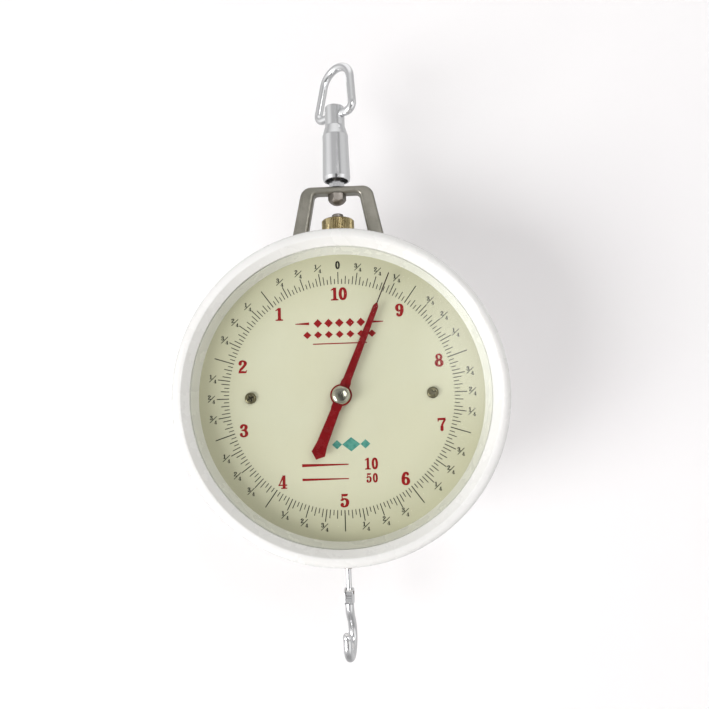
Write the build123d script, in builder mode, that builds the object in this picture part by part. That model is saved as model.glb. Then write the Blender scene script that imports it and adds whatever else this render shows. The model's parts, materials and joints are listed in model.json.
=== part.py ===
from build123d import *
import os
from math import atan, cos, degrees, pi, radians, sin, sqrt, tan

os.makedirs("parts", exist_ok=True)

# A hanging spring scale with a round dial. Millimetres.
# +X is right, +Y runs back into the case and +Z is up, so the dial faces -Y.
# Pieces are drawn about the point where the pointer's axis meets the face of the dial, so depths
# count from the dial and the load hangs at y = load_depth. Each finished piece is then set back,
# which puts the origin on the pointer's axis in the case's flat back, where the scale rests.

# ---------------------------------------------------------------- driving dimensions
# Case, bezel and dial: radii about the pointer's axis, depths along Y.
bezel_radius = 100.0
bezel_front = -17.8
bezel_rear = 8.0
bezel_round = 5.3
crown_radius = 93.8
lip_radius = 89.7
lip_front = -12.7
lip_rear = -12.0
pocket_radius = 93.2
skirt_radius = 97.4
lens_radius = 93.0
lens_thick = 2.2
gasket_inner = 90.6
gasket_thick = 0.5
window_radius = 87.0
dial_radius = 93.0
dial_thick = 1.0
dial_hole = 3.6
dial_screw_x = 55.3
case_radius = 97.3
case_wall = 1.7
case_front = -6.0
case_back = 52.0
case_round = 9.0

# Frame inside the case: two plates held apart by posts.
plate_thick = 2.4
plate_round = 6.0
front_plate_depth = 6.0
rear_plate_depth = case_back - case_wall - plate_thick
post_x = 48.0
post_z = 46.0
post_flats = 8.0
screw_radius = 2.0
screw_hole = 2.15

# Load line and yoke.
load_depth = 25.0
yoke_deep = 10.0
yoke_top = 137.5
yoke_bar = 4.6
yoke_half_top = 22.8
yoke_inner_top = 14.7
yoke_splay = 0.212
yoke_inner_splay = 0.190
yoke_foot = 64.9
yoke_bolt_x = 32.6
yoke_bolt_z = 70.0
beam_low = 84.0
beam_high = 92.0
boss_radius = 7.0
boss_top = 107.0

# Zero adjuster.
nut_radius = 10.6
nut_height = 8.6
nut_gap = 0.1
knurl_count = 56
knurl_wide = 0.75
knurl_out = 0.12
nut_chamfer = 0.9
zero_screw_radius = 3.75
zero_screw_top = 119.6
driver_slot_wide = 1.1
driver_slot_deep = 1.4
driver_slot_turn = 25
bar_low = 52.0
bar_high = 62.0
bar_half = 34.0
bar_thick = 4.0
bar_round = 3.0
bar_boss_radius = 6.0
running_gap = 0.1

# Springs.
spring_x = 27.0
spring_hole = 2.5
coil_radius = 7.0
wire_radius = 1.0
loop_radius = 5.0
coil_turns = 24

# Crosshead, load rod and hook.
cross_low = -50.0
cross_high = -42.0
rod_thread_radius = 2.5
rod_radius = 1.75
pin_height = -122.5
eye_radius = 2.4
eye_half_thick = 1.63
pin_radius = 1.0
hook_turn = 7.0
hook_wire = 2.7
bowl_radius = 10.4
bowl_drop = 28.6
bush_low = -103.9
collar_low = -107.6

# Rack and pinion: involute teeth, and a rack tip kept short so that it can't undercut.
module = 0.6
pinion_teeth = 16
pressure = radians(20)
backlash = 0.16
rack_tip = 0.8 * module
rack_root = 1.25 * module
pinion_tip = 1.0 * module
pinion_root = 1.25 * module
pinion_wide = 7.0
rack_wide = 5.0
rack_back = 10.0
rack_teeth_below = 3
rack_teeth_above = 20
spindle_radius = 1.5
spindle_front = -7.0
spindle_rear = 50.0

# Pointer, in its own plane; it hangs clockwise of the zero when nothing is on the hook.
pointer_lean = radians(23)
pointer_rear = -4.4
pointer_sheet = 0.8
flange_deep = 1.2
flange_wide = 0.6
fold_round = 0.45
shoulder_half = 3.05
shoulder_reach = 8.4
fold_start = 10.0
body_half = 2.5
body_reach = 57.8
neck_half = 1.65
needle_half = 0.35
needle_start = 60.2
needle_reach = 80.3
needle_point = 0.8
tail_half = 2.7
tail_fold_half = 3.4
tail_fold_end = 31.5
tail_end_half = 4.3
tail_reach = 37.6
tail_point = 41.2
hub_disc = 6.6
cap_radius = 5.65
cap_front = -9.2

# Hanger: barrel, swivel and ring, turned about the load line.
barrel_low = 142.1
barrel_high = 172.6
barrel_radius = 8.5
barrel_flare = 9.1
barrel_bore = 7.6
web_low = 160.0
web_high = 164.0
shoulder_high = 179.4
neck_radius = 6.5
neck_bore = 4.7
neck_top = 192.8
swivel_radius = 2.5
ring_pivot = 187.0
ring_turn = radians(40)
ring_lean = 7.0
ring_wire = 2.7
ring_hole = 2.85
ring_foot = 10.7
ring_bend = 4.5
ring_arch = 12.0
ring_taper = 9.5

pitch_radius = module * pinion_teeth / 2
load_axis = Axis((0, load_depth, 0), (0, 0, 1))
set_back = Location((0, -case_back, 0))


def face_at(depth):
    """Plane that faces the front: local x is right, local y is up, a negative extrusion goes back."""
    return Plane.XZ.offset(-depth)


def level(height):
    """Horizontal plane centred on the load line."""
    return Plane((0, load_depth, height))


# Plane that holds the load line: local x is right, local y is the height.
hang = face_at(load_depth)

# ---------------------------------------------------------------- case, bezel and dial
with BuildPart() as bezel:
    with BuildSketch(Plane.XY) as bezel_section:
        with BuildLine():
            Polyline(
                (crown_radius, bezel_front),
                (lip_radius, lip_front),
                (lip_radius, lip_rear),
                (pocket_radius, lip_rear),
                (pocket_radius, case_front),
                (skirt_radius, case_front),
                (skirt_radius, bezel_rear),
                (bezel_radius, bezel_rear),
                (bezel_radius, bezel_front + bezel_round),
            )
            CenterArc((bezel_radius - bezel_round, bezel_front + bezel_round), bezel_round, 0, -90)
            Line((bezel_radius - bezel_round, bezel_front), (crown_radius, bezel_front))
        make_face()
        fillet(bezel_section.vertices().sort_by_distance((crown_radius, bezel_front))[0], 0.85)
        fillet(bezel_section.vertices().sort_by_distance((lip_radius, lip_front))[0], 0.3)
        fillet(bezel_section.vertices().sort_by_distance((bezel_radius, bezel_rear))[0], 0.8)
    revolve(axis=Axis.Y)
bezel.part.move(set_back)
bezel.part.label = "bezel"
export_step(bezel.part, "parts/bezel.step")

lens_rear = lip_rear + lens_thick
gasket_rear = lens_rear + gasket_thick

with BuildPart() as lens:
    with BuildSketch(face_at(lip_rear)):
        Circle(lens_radius)
    extrude(amount=-lens_thick)
    chamfer(lens.edges().filter_by(GeomType.CIRCLE), 0.3)
lens.part.move(set_back)
lens.part.label = "lens"
export_step(lens.part, "parts/lens.step")

with BuildPart() as lens_gasket:
    with BuildSketch(face_at(lens_rear)):
        Circle(lens_radius)
        Circle(gasket_inner, mode=Mode.SUBTRACT)
    extrude(amount=-gasket_thick)
lens_gasket.part.move(set_back)
lens_gasket.part.label = "lens_gasket"
export_step(lens_gasket.part, "parts/lens_gasket.step")

# White ring between the lens and the dial: its inner wall closes in towards the dial.
with BuildPart() as spacer_ring:
    with BuildSketch(Plane.XY):
        Polygon(
            (lip_radius - 0.1, gasket_rear),
            (lens_radius, gasket_rear),
            (lens_radius, 0),
            (window_radius, 0),
            align=None,
        )
    revolve(axis=Axis.Y)
spacer_ring.part.move(set_back)
spacer_ring.part.label = "spacer_ring"
export_step(spacer_ring.part, "parts/spacer_ring.step")

with BuildPart() as dial_plate:
    with BuildSketch(face_at(0)):
        Circle(dial_radius)
        Circle(dial_hole, mode=Mode.SUBTRACT)
        with Locations((-dial_screw_x, 0), (dial_screw_x, 0)):
            Circle(screw_hole, mode=Mode.SUBTRACT)
    extrude(amount=-dial_thick)
dial_plate.part.move(set_back)
dial_plate.part.label = "dial_plate"
export_step(dial_plate.part, "parts/dial_plate.step")

dial_head_radius = 3.5
dial_head_high = 2.1
recess_long = 3.9
recess_wide = 0.85
recess_deep = 1.3

# Two cross-recessed pan heads, threaded into the standoffs behind the dial.
with BuildPart() as dial_screws:
    with BuildSketch(face_at(0)):
        with Locations((-dial_screw_x, 0), (dial_screw_x, 0)):
            Circle(dial_head_radius)
    extrude(amount=dial_head_high)
    fillet(dial_screws.faces().filter_by(Axis.Y).group_by(Axis.Y)[0].edges(), 1.2)
    with BuildSketch(face_at(0)):
        with Locations((-dial_screw_x, 0), (dial_screw_x, 0)):
            Circle(screw_radius)
    extrude(amount=-(front_plate_depth + 1.0))
    with BuildSketch(face_at(-dial_head_high)):
        with Locations((-dial_screw_x, 0), (dial_screw_x, 0)):
            Rectangle(recess_long, recess_wide, rotation=28)
            Rectangle(recess_wide, recess_long, rotation=28)
    extrude(amount=-recess_deep, mode=Mode.SUBTRACT)
dial_screws.part.move(set_back)
dial_screws.part.label = "dial_screws"
export_step(dial_screws.part, "parts/dial_screws.step")

with BuildPart() as dial_standoffs:
    with BuildSketch(face_at(dial_thick)):
        with Locations((-dial_screw_x, 0), (dial_screw_x, 0)):
            RegularPolygon(3.5, 6, major_radius=False)
            Circle(screw_radius, mode=Mode.SUBTRACT)
    extrude(amount=-(front_plate_depth - dial_thick))
dial_standoffs.part.move(set_back)
dial_standoffs.part.label = "dial_standoffs"
export_step(dial_standoffs.part, "parts/dial_standoffs.step")

# Deep cup with a rounded back edge, slots for the yoke's legs and holes on the load line.
leg_slot_x = 27.7
leg_slot_wide = 13.2
bush_radius = 4.0
boss_clearance = 0.8
sink_radius = 3.8
post_places = [(-post_x, -post_z), (post_x, -post_z), (-post_x, post_z), (post_x, post_z)]
with BuildPart() as back_case:
    with BuildSketch(face_at(case_front)):
        Circle(case_radius)
    extrude(amount=-(case_back - case_front))
    fillet(back_case.edges().filter_by(GeomType.CIRCLE).sort_by(Axis.Y)[-1], case_round)
    offset(
        amount=-case_wall,
        openings=back_case.faces().filter_by(GeomType.PLANE).sort_by(Axis.Y)[0],
    )
    with BuildSketch(level(beam_low)):
        with Locations((-leg_slot_x, 0), (leg_slot_x, 0)):
            RectangleRounded(leg_slot_wide, yoke_deep + 1.2, 1.5)
    extrude(amount=case_radius - beam_low, mode=Mode.SUBTRACT)
    with BuildSketch(level(beam_high)):
        Circle(boss_radius + boss_clearance)
    extrude(amount=case_radius - beam_high, mode=Mode.SUBTRACT)
    with BuildSketch(level(-case_radius)):
        Circle(bush_radius)
    extrude(amount=case_wall * 3, mode=Mode.SUBTRACT)
    with Locations(*[Location(Plane((x, case_back, z), z_dir=(0, 1, 0))) for x, z in post_places]):
        CounterSinkHole(screw_hole, sink_radius, depth=case_wall, counter_sink_angle=90)
back_case.part.move(set_back)
back_case.part.label = "back_case"
export_step(back_case.part, "parts/back_case.step")

# ---------------------------------------------------------------- frame inside the case
def plate_outline(half_low, half_high, low, shoulder, high):
    """Frame plate seen from the front: straight sides, drawn in at the top to clear the round case."""
    Polygon(
        (-half_low, low),
        (half_low, low),
        (half_low, shoulder),
        (half_high, high),
        (-half_high, high),
        (-half_low, shoulder),
        align=None,
    )


yoke_bolt_places = [(-yoke_bolt_x, yoke_bolt_z), (yoke_bolt_x, yoke_bolt_z)]
dial_screw_places = [(-dial_screw_x, 0), (dial_screw_x, 0)]
yoke_bolt_radius = 2.5
stud_clearance = 0.15
spacer_clearance = 0.1
front_bush_radius = 4.5
rear_bush_radius = 4.0
guide_screw_x = 13.6
guide_screw_z = 3.6
guide_screw_radius = 1.25

with BuildPart() as front_plate:
    with BuildSketch(face_at(front_plate_depth)) as front_outline:
        plate_outline(62.0, 42.0, -57.0, 50.0, 77.5)
        fillet(front_outline.vertices(), plate_round)
        Circle(front_bush_radius, mode=Mode.SUBTRACT)
        with Locations(post_places):
            Circle(screw_hole, mode=Mode.SUBTRACT)
        with Locations(dial_screw_places):
            Circle(screw_hole, mode=Mode.SUBTRACT)
        with Locations(yoke_bolt_places):
            Circle(yoke_bolt_radius + stud_clearance, mode=Mode.SUBTRACT)
        with Locations((-guide_screw_x, guide_screw_z), (-guide_screw_x, -guide_screw_z)):
            Circle(guide_screw_radius + running_gap, mode=Mode.SUBTRACT)
    extrude(amount=-plate_thick)
front_plate.part.move(set_back)
front_plate.part.label = "front_plate"
export_step(front_plate.part, "parts/front_plate.step")

with BuildPart() as rear_plate:
    with BuildSketch(face_at(rear_plate_depth)) as rear_outline:
        plate_outline(58.0, 38.0, -56.0, 48.0, 77.0)
        fillet(rear_outline.vertices(), plate_round)
        Circle(rear_bush_radius, mode=Mode.SUBTRACT)
        with Locations(post_places):
            Circle(screw_hole, mode=Mode.SUBTRACT)
        with Locations(yoke_bolt_places):
            Circle(yoke_bolt_radius + stud_clearance, mode=Mode.SUBTRACT)
    extrude(amount=-plate_thick)
rear_plate.part.move(set_back)
rear_plate.part.label = "rear_plate"
export_step(rear_plate.part, "parts/rear_plate.step")

post_front = front_plate_depth + plate_thick
post_long = rear_plate_depth - post_front
with BuildPart() as frame_posts:
    with BuildSketch(face_at(post_front)):
        with Locations(post_places):
            RegularPolygon(post_flats / 2, 6, major_radius=False)
            Circle(screw_radius, mode=Mode.SUBTRACT)
    extrude(amount=-post_long)
frame_posts.part.move(set_back)
frame_posts.part.label = "frame_posts"
export_step(frame_posts.part, "parts/frame_posts.step")

frame_head_radius = 3.4
frame_head_high = 1.8
screw_bite = 9.0

# Four pan heads on the front plate, threaded into the posts.
with BuildPart() as frame_screws:
    with BuildSketch(face_at(front_plate_depth)):
        with Locations(post_places):
            Circle(frame_head_radius)
    extrude(amount=frame_head_high)
    fillet(frame_screws.faces().filter_by(Axis.Y).group_by(Axis.Y)[0].edges(), 0.8)
    with BuildSketch(face_at(front_plate_depth)):
        with Locations(post_places):
            Circle(screw_radius)
    extrude(amount=-screw_bite)
    with BuildSketch(face_at(front_plate_depth - frame_head_high)):
        with Locations(post_places):
            Rectangle(recess_long, recess_wide)
            Rectangle(recess_wide, recess_long)
    extrude(amount=-recess_deep, mode=Mode.SUBTRACT)
frame_screws.part.move(set_back)
frame_screws.part.label = "frame_screws"
export_step(frame_screws.part, "parts/frame_screws.step")

sink_head_radius = 3.65
sink_gap = 0.1
sink_head_high = 1.6
sink_recess = 1.2

# Four countersunk screws, flush in the back of the case, through the rear plate into the posts.
with BuildPart() as case_screws:
    with BuildSketch(face_at(case_back - sink_gap)):
        with Locations(post_places):
            Circle(sink_head_radius)
    extrude(amount=sink_head_high, taper=45)
    with BuildSketch(face_at(case_back - sink_gap - sink_head_high)):
        with Locations(post_places):
            Circle(screw_radius)
    extrude(amount=screw_bite)
    with BuildSketch(face_at(case_back - sink_gap)):
        with Locations(post_places):
            Rectangle(recess_long, recess_wide)
            Rectangle(recess_wide, recess_long)
    extrude(amount=sink_recess, mode=Mode.SUBTRACT)
case_screws.part.move(set_back)
case_screws.part.label = "case_screws"
export_step(case_screws.part, "parts/case_screws.step")

# ---------------------------------------------------------------- yoke
def yoke_edge(half_top, splay, top, low):
    """Half width of one side of the splayed yoke at a height."""
    return half_top + splay * (top - low)


yoke_front = load_depth - yoke_deep / 2
yoke_inner_high = yoke_top - yoke_bar
yoke_round_outer = 7.5
yoke_round_inner = 2.6
yoke_round_foot = 3.5
yoke_round_edge = 1.9
boss_round = 0.6
beam_inset = 0.5
foot_outer = yoke_edge(yoke_half_top, yoke_splay, yoke_top, yoke_foot)
foot_inner = yoke_edge(yoke_inner_top, yoke_inner_splay, yoke_inner_high, yoke_foot)
beam_half = yoke_edge(yoke_inner_top, yoke_inner_splay, yoke_inner_high, beam_low) + 2
swivel_bolt_hole = 3.15

# Cast yoke: a splayed arch, a beam inside the case, and a boss for the zero adjuster.
with BuildPart() as yoke:
    with BuildSketch(face_at(yoke_front)) as arch:
        Polygon(
            (-foot_outer, yoke_foot),
            (-yoke_half_top, yoke_top),
            (yoke_half_top, yoke_top),
            (foot_outer, yoke_foot),
            (foot_inner, yoke_foot),
            (yoke_inner_top, yoke_inner_high),
            (-yoke_inner_top, yoke_inner_high),
            (-foot_inner, yoke_foot),
            align=None,
        )
        fillet(arch.vertices().group_by(Axis.Y)[-1], yoke_round_outer)
        fillet(arch.vertices().group_by(Axis.Y)[0], yoke_round_foot)
        inner_corners = [
            corner for corner in arch.vertices() if abs(corner.Y - yoke_inner_high) < 0.01
        ]
        fillet(inner_corners, yoke_round_inner)
    extrude(amount=-yoke_deep)
    long_edges = yoke.edges().filter_by(lambda edge: abs(edge.tangent_at(0.5).Y) < 0.01)
    fillet(long_edges, yoke_round_edge)
    with BuildSketch(face_at(yoke_front + beam_inset)):
        with Locations((0, (beam_low + beam_high) / 2)):
            Rectangle(2 * beam_half, beam_high - beam_low)
    extrude(amount=-(yoke_deep - 2 * beam_inset))
    with BuildSketch(level(beam_low)):
        Circle(boss_radius)
    extrude(amount=boss_top - beam_low)
    round_edges = yoke.edges().filter_by(GeomType.CIRCLE)
    fillet(round_edges.filter_by_position(Axis.Z, boss_top - 0.1, boss_top + 0.1), boss_round)
    with BuildSketch(level(beam_low)):
        Circle(zero_screw_radius + running_gap)
    extrude(amount=boss_top - beam_low, mode=Mode.SUBTRACT)
    with BuildSketch(level(yoke_top - yoke_bar)):
        Circle(swivel_bolt_hole)
    extrude(amount=yoke_bar, mode=Mode.SUBTRACT)
    with BuildSketch(face_at(yoke_front)):
        with Locations(yoke_bolt_places):
            Circle(yoke_bolt_radius + stud_clearance)
    extrude(amount=-yoke_deep, mode=Mode.SUBTRACT)
yoke.part.move(set_back)
yoke.part.label = "yoke"
export_step(yoke.part, "parts/yoke.step")

spacer_radius = 4.3
with BuildPart() as yoke_spacers:
    with BuildSketch(face_at(post_front)):
        with Locations(yoke_bolt_places):
            Circle(spacer_radius)
            Circle(yoke_bolt_radius + spacer_clearance, mode=Mode.SUBTRACT)
    extrude(amount=-(yoke_front - post_front))
    with BuildSketch(face_at(yoke_front + yoke_deep)):
        with Locations(yoke_bolt_places):
            Circle(spacer_radius)
            Circle(yoke_bolt_radius + spacer_clearance, mode=Mode.SUBTRACT)
    extrude(amount=-(rear_plate_depth - yoke_front - yoke_deep))
yoke_spacers.part.move(set_back)
yoke_spacers.part.label = "yoke_spacers"
export_step(yoke_spacers.part, "parts/yoke_spacers.step")

yoke_nut_high = 4.0
yoke_nut_flats = 8.0
nut_front = front_plate_depth - yoke_nut_high

# Two long studs, threaded into the rear plate, clamp the spacers and the yoke's legs between the plates.
with BuildPart() as yoke_bolts:
    with BuildSketch(face_at(nut_front)):
        with Locations(yoke_bolt_places):
            Circle(yoke_bolt_radius)
    extrude(amount=-(case_back - case_wall - nut_front))
    chamfer(yoke_bolts.faces().filter_by(Axis.Y).group_by(Axis.Y)[0].edges(), 0.5)
yoke_bolts.part.move(set_back)
yoke_bolts.part.label = "yoke_bolts"
export_step(yoke_bolts.part, "parts/yoke_bolts.step")

with BuildPart() as yoke_nuts:
    with BuildSketch(face_at(front_plate_depth)):
        with Locations(yoke_bolt_places):
            RegularPolygon(yoke_nut_flats / 2, 6, major_radius=False)
            Circle(yoke_bolt_radius, mode=Mode.SUBTRACT)
    extrude(amount=yoke_nut_high)
yoke_nuts.part.move(set_back)
yoke_nuts.part.label = "yoke_nuts"
export_step(yoke_nuts.part, "parts/yoke_nuts.step")

# ---------------------------------------------------------------- swivel and hanger
hex_flats = 10.4
hex_high = 7.2
hex_low = yoke_inner_high - hex_high
lock_nut_flats = 8.6
lock_nut_top = yoke_top + 4.6
lock_nut_crown = 3.2
lock_nut_drop = 3.0
swivel_nut_radius = 4.3
swivel_nut_high = 4.6
swivel_top = web_high + swivel_nut_high + 1.8

# Hex bolt pushed up through the yoke: domed head below the bar, plain shank in the barrel's web.
with BuildPart() as swivel_bolt:
    with BuildSketch(level(yoke_inner_high)):
        RegularPolygon(hex_flats / 2, 6, major_radius=False, rotation=10)
    extrude(amount=-hex_high)
    with BuildSketch(hang):
        with BuildLine():
            ThreePointArc((0, hex_low), (hex_flats / 3, hex_low + 0.9), (hex_flats * 0.6, hex_low + 4.0))
            Line((hex_flats * 0.6, hex_low + 4.0), (hex_flats, hex_low + 4.0))
            Line((hex_flats, hex_low + 4.0), (hex_flats, hex_low - 1))
            Line((hex_flats, hex_low - 1), (0, hex_low - 1))
            Line((0, hex_low - 1), (0, hex_low))
        make_face()
    revolve(axis=load_axis, mode=Mode.SUBTRACT)
    with BuildSketch(level(yoke_inner_high)):
        Circle(swivel_radius + 0.5)
    extrude(amount=yoke_bar)
    with BuildSketch(level(yoke_top)):
        Circle(swivel_radius)
    extrude(amount=swivel_top - yoke_top)
    chamfer(swivel_bolt.faces().sort_by(Axis.Z)[-1].edges(), 0.5)
swivel_bolt.part.move(set_back)
swivel_bolt.part.label = "swivel_bolt"
export_step(swivel_bolt.part, "parts/swivel_bolt.step")

with BuildPart() as lock_nut:
    with BuildSketch(level(yoke_top)):
        RegularPolygon(lock_nut_flats / 2, 6, major_radius=False)
        Circle(swivel_radius, mode=Mode.SUBTRACT)
    extrude(amount=lock_nut_top - yoke_top)
    with BuildSketch(hang):
        Polygon(
            (lock_nut_crown, lock_nut_top),
            (lock_nut_flats, lock_nut_top - lock_nut_drop),
            (lock_nut_flats, lock_nut_top),
            align=None,
        )
    revolve(axis=load_axis, mode=Mode.SUBTRACT)
lock_nut.part.move(set_back)
lock_nut.part.label = "lock_nut"
export_step(lock_nut.part, "parts/lock_nut.step")

# Round retaining nut above the barrel's web: it carries the whole load and lets the barrel turn.
with BuildPart() as swivel_nut:
    with BuildSketch(level(web_high + running_gap)):
        Circle(swivel_nut_radius)
        Circle(swivel_radius, mode=Mode.SUBTRACT)
        with PolarLocations(swivel_nut_radius, 4):
            Rectangle(1.2, 1.2, mode=Mode.SUBTRACT)
    extrude(amount=swivel_nut_high)
swivel_nut.part.move(set_back)
swivel_nut.part.label = "swivel_nut"
export_step(swivel_nut.part, "parts/swivel_nut.step")

ring_line = Plane(
    (0, load_depth, ring_pivot),
    x_dir=(cos(ring_turn), -sin(ring_turn), 0),
    z_dir=(-sin(ring_turn), -cos(ring_turn), 0),
)

# Turned barrel: open below, a web for the swivel, a cone up to the neck, and a cross hole.
with BuildPart() as hanger_barrel:
    with BuildSketch(hang):
        with BuildLine():
            Polyline(
                (barrel_bore, barrel_low),
                (barrel_bore, web_low),
                (swivel_radius + running_gap, web_low),
                (swivel_radius + running_gap, web_high),
                (neck_bore, web_high),
                (neck_bore, neck_top),
                (neck_radius - 0.6, neck_top),
                (neck_radius, neck_top - 0.6),
                (neck_radius, shoulder_high),
                (barrel_radius, barrel_high),
            )
            Spline(
                (barrel_radius, barrel_high),
                (barrel_flare, barrel_low + 2.2),
                tangents=((0.004, -1), (0.02, -1)),
            )
            Polyline(
                (barrel_flare, barrel_low + 2.2),
                (barrel_flare - 0.5, barrel_low),
                (barrel_bore, barrel_low),
            )
        make_face()
    revolve(axis=load_axis)
    fillet(
        hanger_barrel.edges()
        .filter_by(GeomType.CIRCLE)
        .filter_by_position(Axis.Z, barrel_high - 0.1, shoulder_high + 0.1),
        1.6,
    )
    with BuildSketch(Plane(ring_line.origin, x_dir=(0, 0, 1), z_dir=ring_line.x_dir)):
        Circle(ring_hole)
    extrude(amount=barrel_radius, both=True, mode=Mode.SUBTRACT)
hanger_barrel.part.move(set_back)
hanger_barrel.part.label = "hanger_barrel"
export_step(hanger_barrel.part, "parts/hanger_barrel.step")

ring_tilt = radians(ring_lean)
ring_frame = Plane(
    ring_line.origin,
    x_dir=ring_line.x_dir,
    z_dir=(-sin(ring_turn) * cos(ring_tilt), -cos(ring_turn) * cos(ring_tilt), sin(ring_tilt)),
)
ring_foot_end = 3.0
taper = radians(ring_taper)
ring_leg = (ring_foot + (ring_bend - ring_arch) * cos(taper)) / sin(taper)

# Rod bent into a pear-shaped loop; its two feet turn in and pivot in the neck's cross hole.
with BuildPart() as hanger_ring:
    with BuildLine(ring_frame) as loop:
        foot = Line((ring_foot_end, 0), (ring_foot, 0))
        bend = JernArc(foot @ 1, foot % 1, ring_bend, 90 + ring_taper)
        leg = PolarLine(bend @ 1, ring_leg, direction=bend % 1)
        arch_turn = JernArc(leg @ 1, leg % 1, ring_arch, 180 - 2 * ring_taper)
        far_leg = PolarLine(arch_turn @ 1, ring_leg, direction=arch_turn % 1)
        far_bend = JernArc(far_leg @ 1, far_leg % 1, ring_bend, 90 + ring_taper)
        Line(far_bend @ 1, far_bend @ 1 + (far_bend % 1) * (ring_foot - ring_foot_end))
    with BuildSketch(Plane(loop.line @ 0, z_dir=loop.line % 0)):
        Circle(ring_wire)
    sweep()
hanger_ring.part.move(set_back)
hanger_ring.part.label = "hanger_ring"
export_step(hanger_ring.part, "parts/hanger_ring.step")

# ---------------------------------------------------------------- zero adjuster
nut_low = boss_top + nut_gap
nut_high = nut_low + nut_height

# Knurled brass nut that rests on the yoke's boss.
with BuildPart() as zero_nut:
    with BuildSketch(hang):
        Polygon(
            (0, nut_low),
            (nut_radius - nut_chamfer, nut_low),
            (nut_radius, nut_low + nut_chamfer),
            (nut_radius, nut_high - nut_chamfer),
            (nut_radius - nut_chamfer, nut_high),
            (0, nut_high),
            align=None,
        )
    revolve(axis=load_axis)
    with BuildSketch(level(nut_low)):
        Circle(zero_screw_radius + running_gap)
        with PolarLocations(nut_radius + knurl_out, knurl_count):
            Rectangle(knurl_wide, knurl_wide, rotation=45)
    extrude(amount=nut_height, mode=Mode.SUBTRACT)
zero_nut.part.move(set_back)
zero_nut.part.label = "zero_nut"
export_step(zero_nut.part, "parts/zero_nut.step")

bar_end_radius = 3.0
bar_nut_flats = 8.0
bar_nut_high = 4.0

# Screw that carries the spring bar: slotted top above the nut, a shoulder on the bar below.
with BuildPart() as zero_screw:
    with BuildSketch(level(bar_high)):
        Circle(zero_screw_radius)
    extrude(amount=zero_screw_top - bar_high)
    fillet(zero_screw.faces().sort_by(Axis.Z)[-1].edges(), 0.9)
    with BuildSketch(level(bar_high)):
        Circle(bar_end_radius)
    extrude(amount=-(bar_high - bar_low + bar_nut_high + 1.5))
    with BuildSketch(level(zero_screw_top)):
        Rectangle(2 * zero_screw_radius, driver_slot_wide, rotation=driver_slot_turn)
    extrude(amount=-driver_slot_deep, mode=Mode.SUBTRACT)
zero_screw.part.move(set_back)
zero_screw.part.label = "zero_screw"
export_step(zero_screw.part, "parts/zero_screw.step")


def cross_bar(low, high, bore_radius):
    """Bar with a bored boss on the load line and a hole near each end for a spring's loop."""
    middle = (low + high) / 2
    with BuildPart() as bar:
        with BuildSketch(face_at(load_depth)) as bar_face:
            with Locations((0, middle)):
                Rectangle(2 * bar_half, high - low)
            fillet(bar_face.vertices(), bar_round)
            with Locations((-spring_x, middle), (spring_x, middle)):
                Circle(spring_hole, mode=Mode.SUBTRACT)
        extrude(amount=bar_thick / 2, both=True)
        with BuildSketch(level(low)):
            Circle(bar_boss_radius)
        extrude(amount=high - low)
        with BuildSketch(level(low)):
            Circle(bore_radius)
        extrude(amount=high - low, mode=Mode.SUBTRACT)
    return bar.part


spring_bar = cross_bar(bar_low, bar_high, bar_end_radius)
spring_bar.move(set_back)
spring_bar.label = "spring_bar"
export_step(spring_bar, "parts/spring_bar.step")

with BuildPart() as bar_nut:
    with BuildSketch(level(bar_low)):
        RegularPolygon(bar_nut_flats / 2, 6, major_radius=False)
        Circle(bar_end_radius, mode=Mode.SUBTRACT)
    extrude(amount=-bar_nut_high)
bar_nut.part.move(set_back)
bar_nut.part.label = "bar_nut"
export_step(bar_nut.part, "parts/bar_nut.step")

# ---------------------------------------------------------------- springs
spring_top = (bar_low + bar_high) / 2 - 2 * loop_radius
spring_low = (cross_low + cross_high) / 2 + 2 * loop_radius
coil_pitch = (spring_top - spring_low) / coil_turns


def extension_spring(x):
    """Wound wire with a round loop at each end, set across the bar that it hangs from."""
    with BuildPart() as spring:
        with BuildLine() as coil:
            Helix(
                pitch=coil_pitch,
                height=spring_top - spring_low,
                radius=coil_radius,
                center=(x, load_depth, spring_low),
            )
        with BuildSketch(Plane(coil.line @ 0, z_dir=coil.line % 0)):
            Circle(wire_radius)
        sweep()
        for height, side in ((spring_low, -1), (spring_top, 1)):
            with Locations(Location((x, load_depth, height + side * loop_radius), (0, 90, 0))):
                Torus(loop_radius, wire_radius)
            with BuildSketch(Plane((x, load_depth, height), z_dir=(1, 0, 0))):
                Circle(wire_radius)
            extrude(amount=coil_radius)
    return spring.part


spring_left = extension_spring(-spring_x)
spring_left.move(set_back)
spring_left.label = "spring_left"
export_step(spring_left, "parts/spring_left.step")

spring_right = Pos(2 * spring_x, 0, 0) * spring_left
spring_right.label = "spring_right"
export_step(spring_right, "parts/spring_right.step")

# ---------------------------------------------------------------- load carriage
crosshead = cross_bar(cross_low, cross_high, rod_thread_radius)
crosshead.move(set_back)
crosshead.label = "crosshead"
export_step(crosshead, "parts/crosshead.step")

rod_nut_flats = 8.0
rod_nut_high = 4.0
rod_top = cross_high + rod_nut_high + 1.5
rod_shoulder = cross_low - rod_nut_high - 1.0
hook_turn_angle = radians(hook_turn)

# Plane of the hook: local x points to the hook's tip, local y is up, and the pin lies across it.
hook_plane = Plane(
    (0, load_depth, pin_height),
    x_dir=(-sin(hook_turn_angle), -cos(hook_turn_angle), 0),
    z_dir=(-cos(hook_turn_angle), sin(hook_turn_angle), 0),
)

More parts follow.
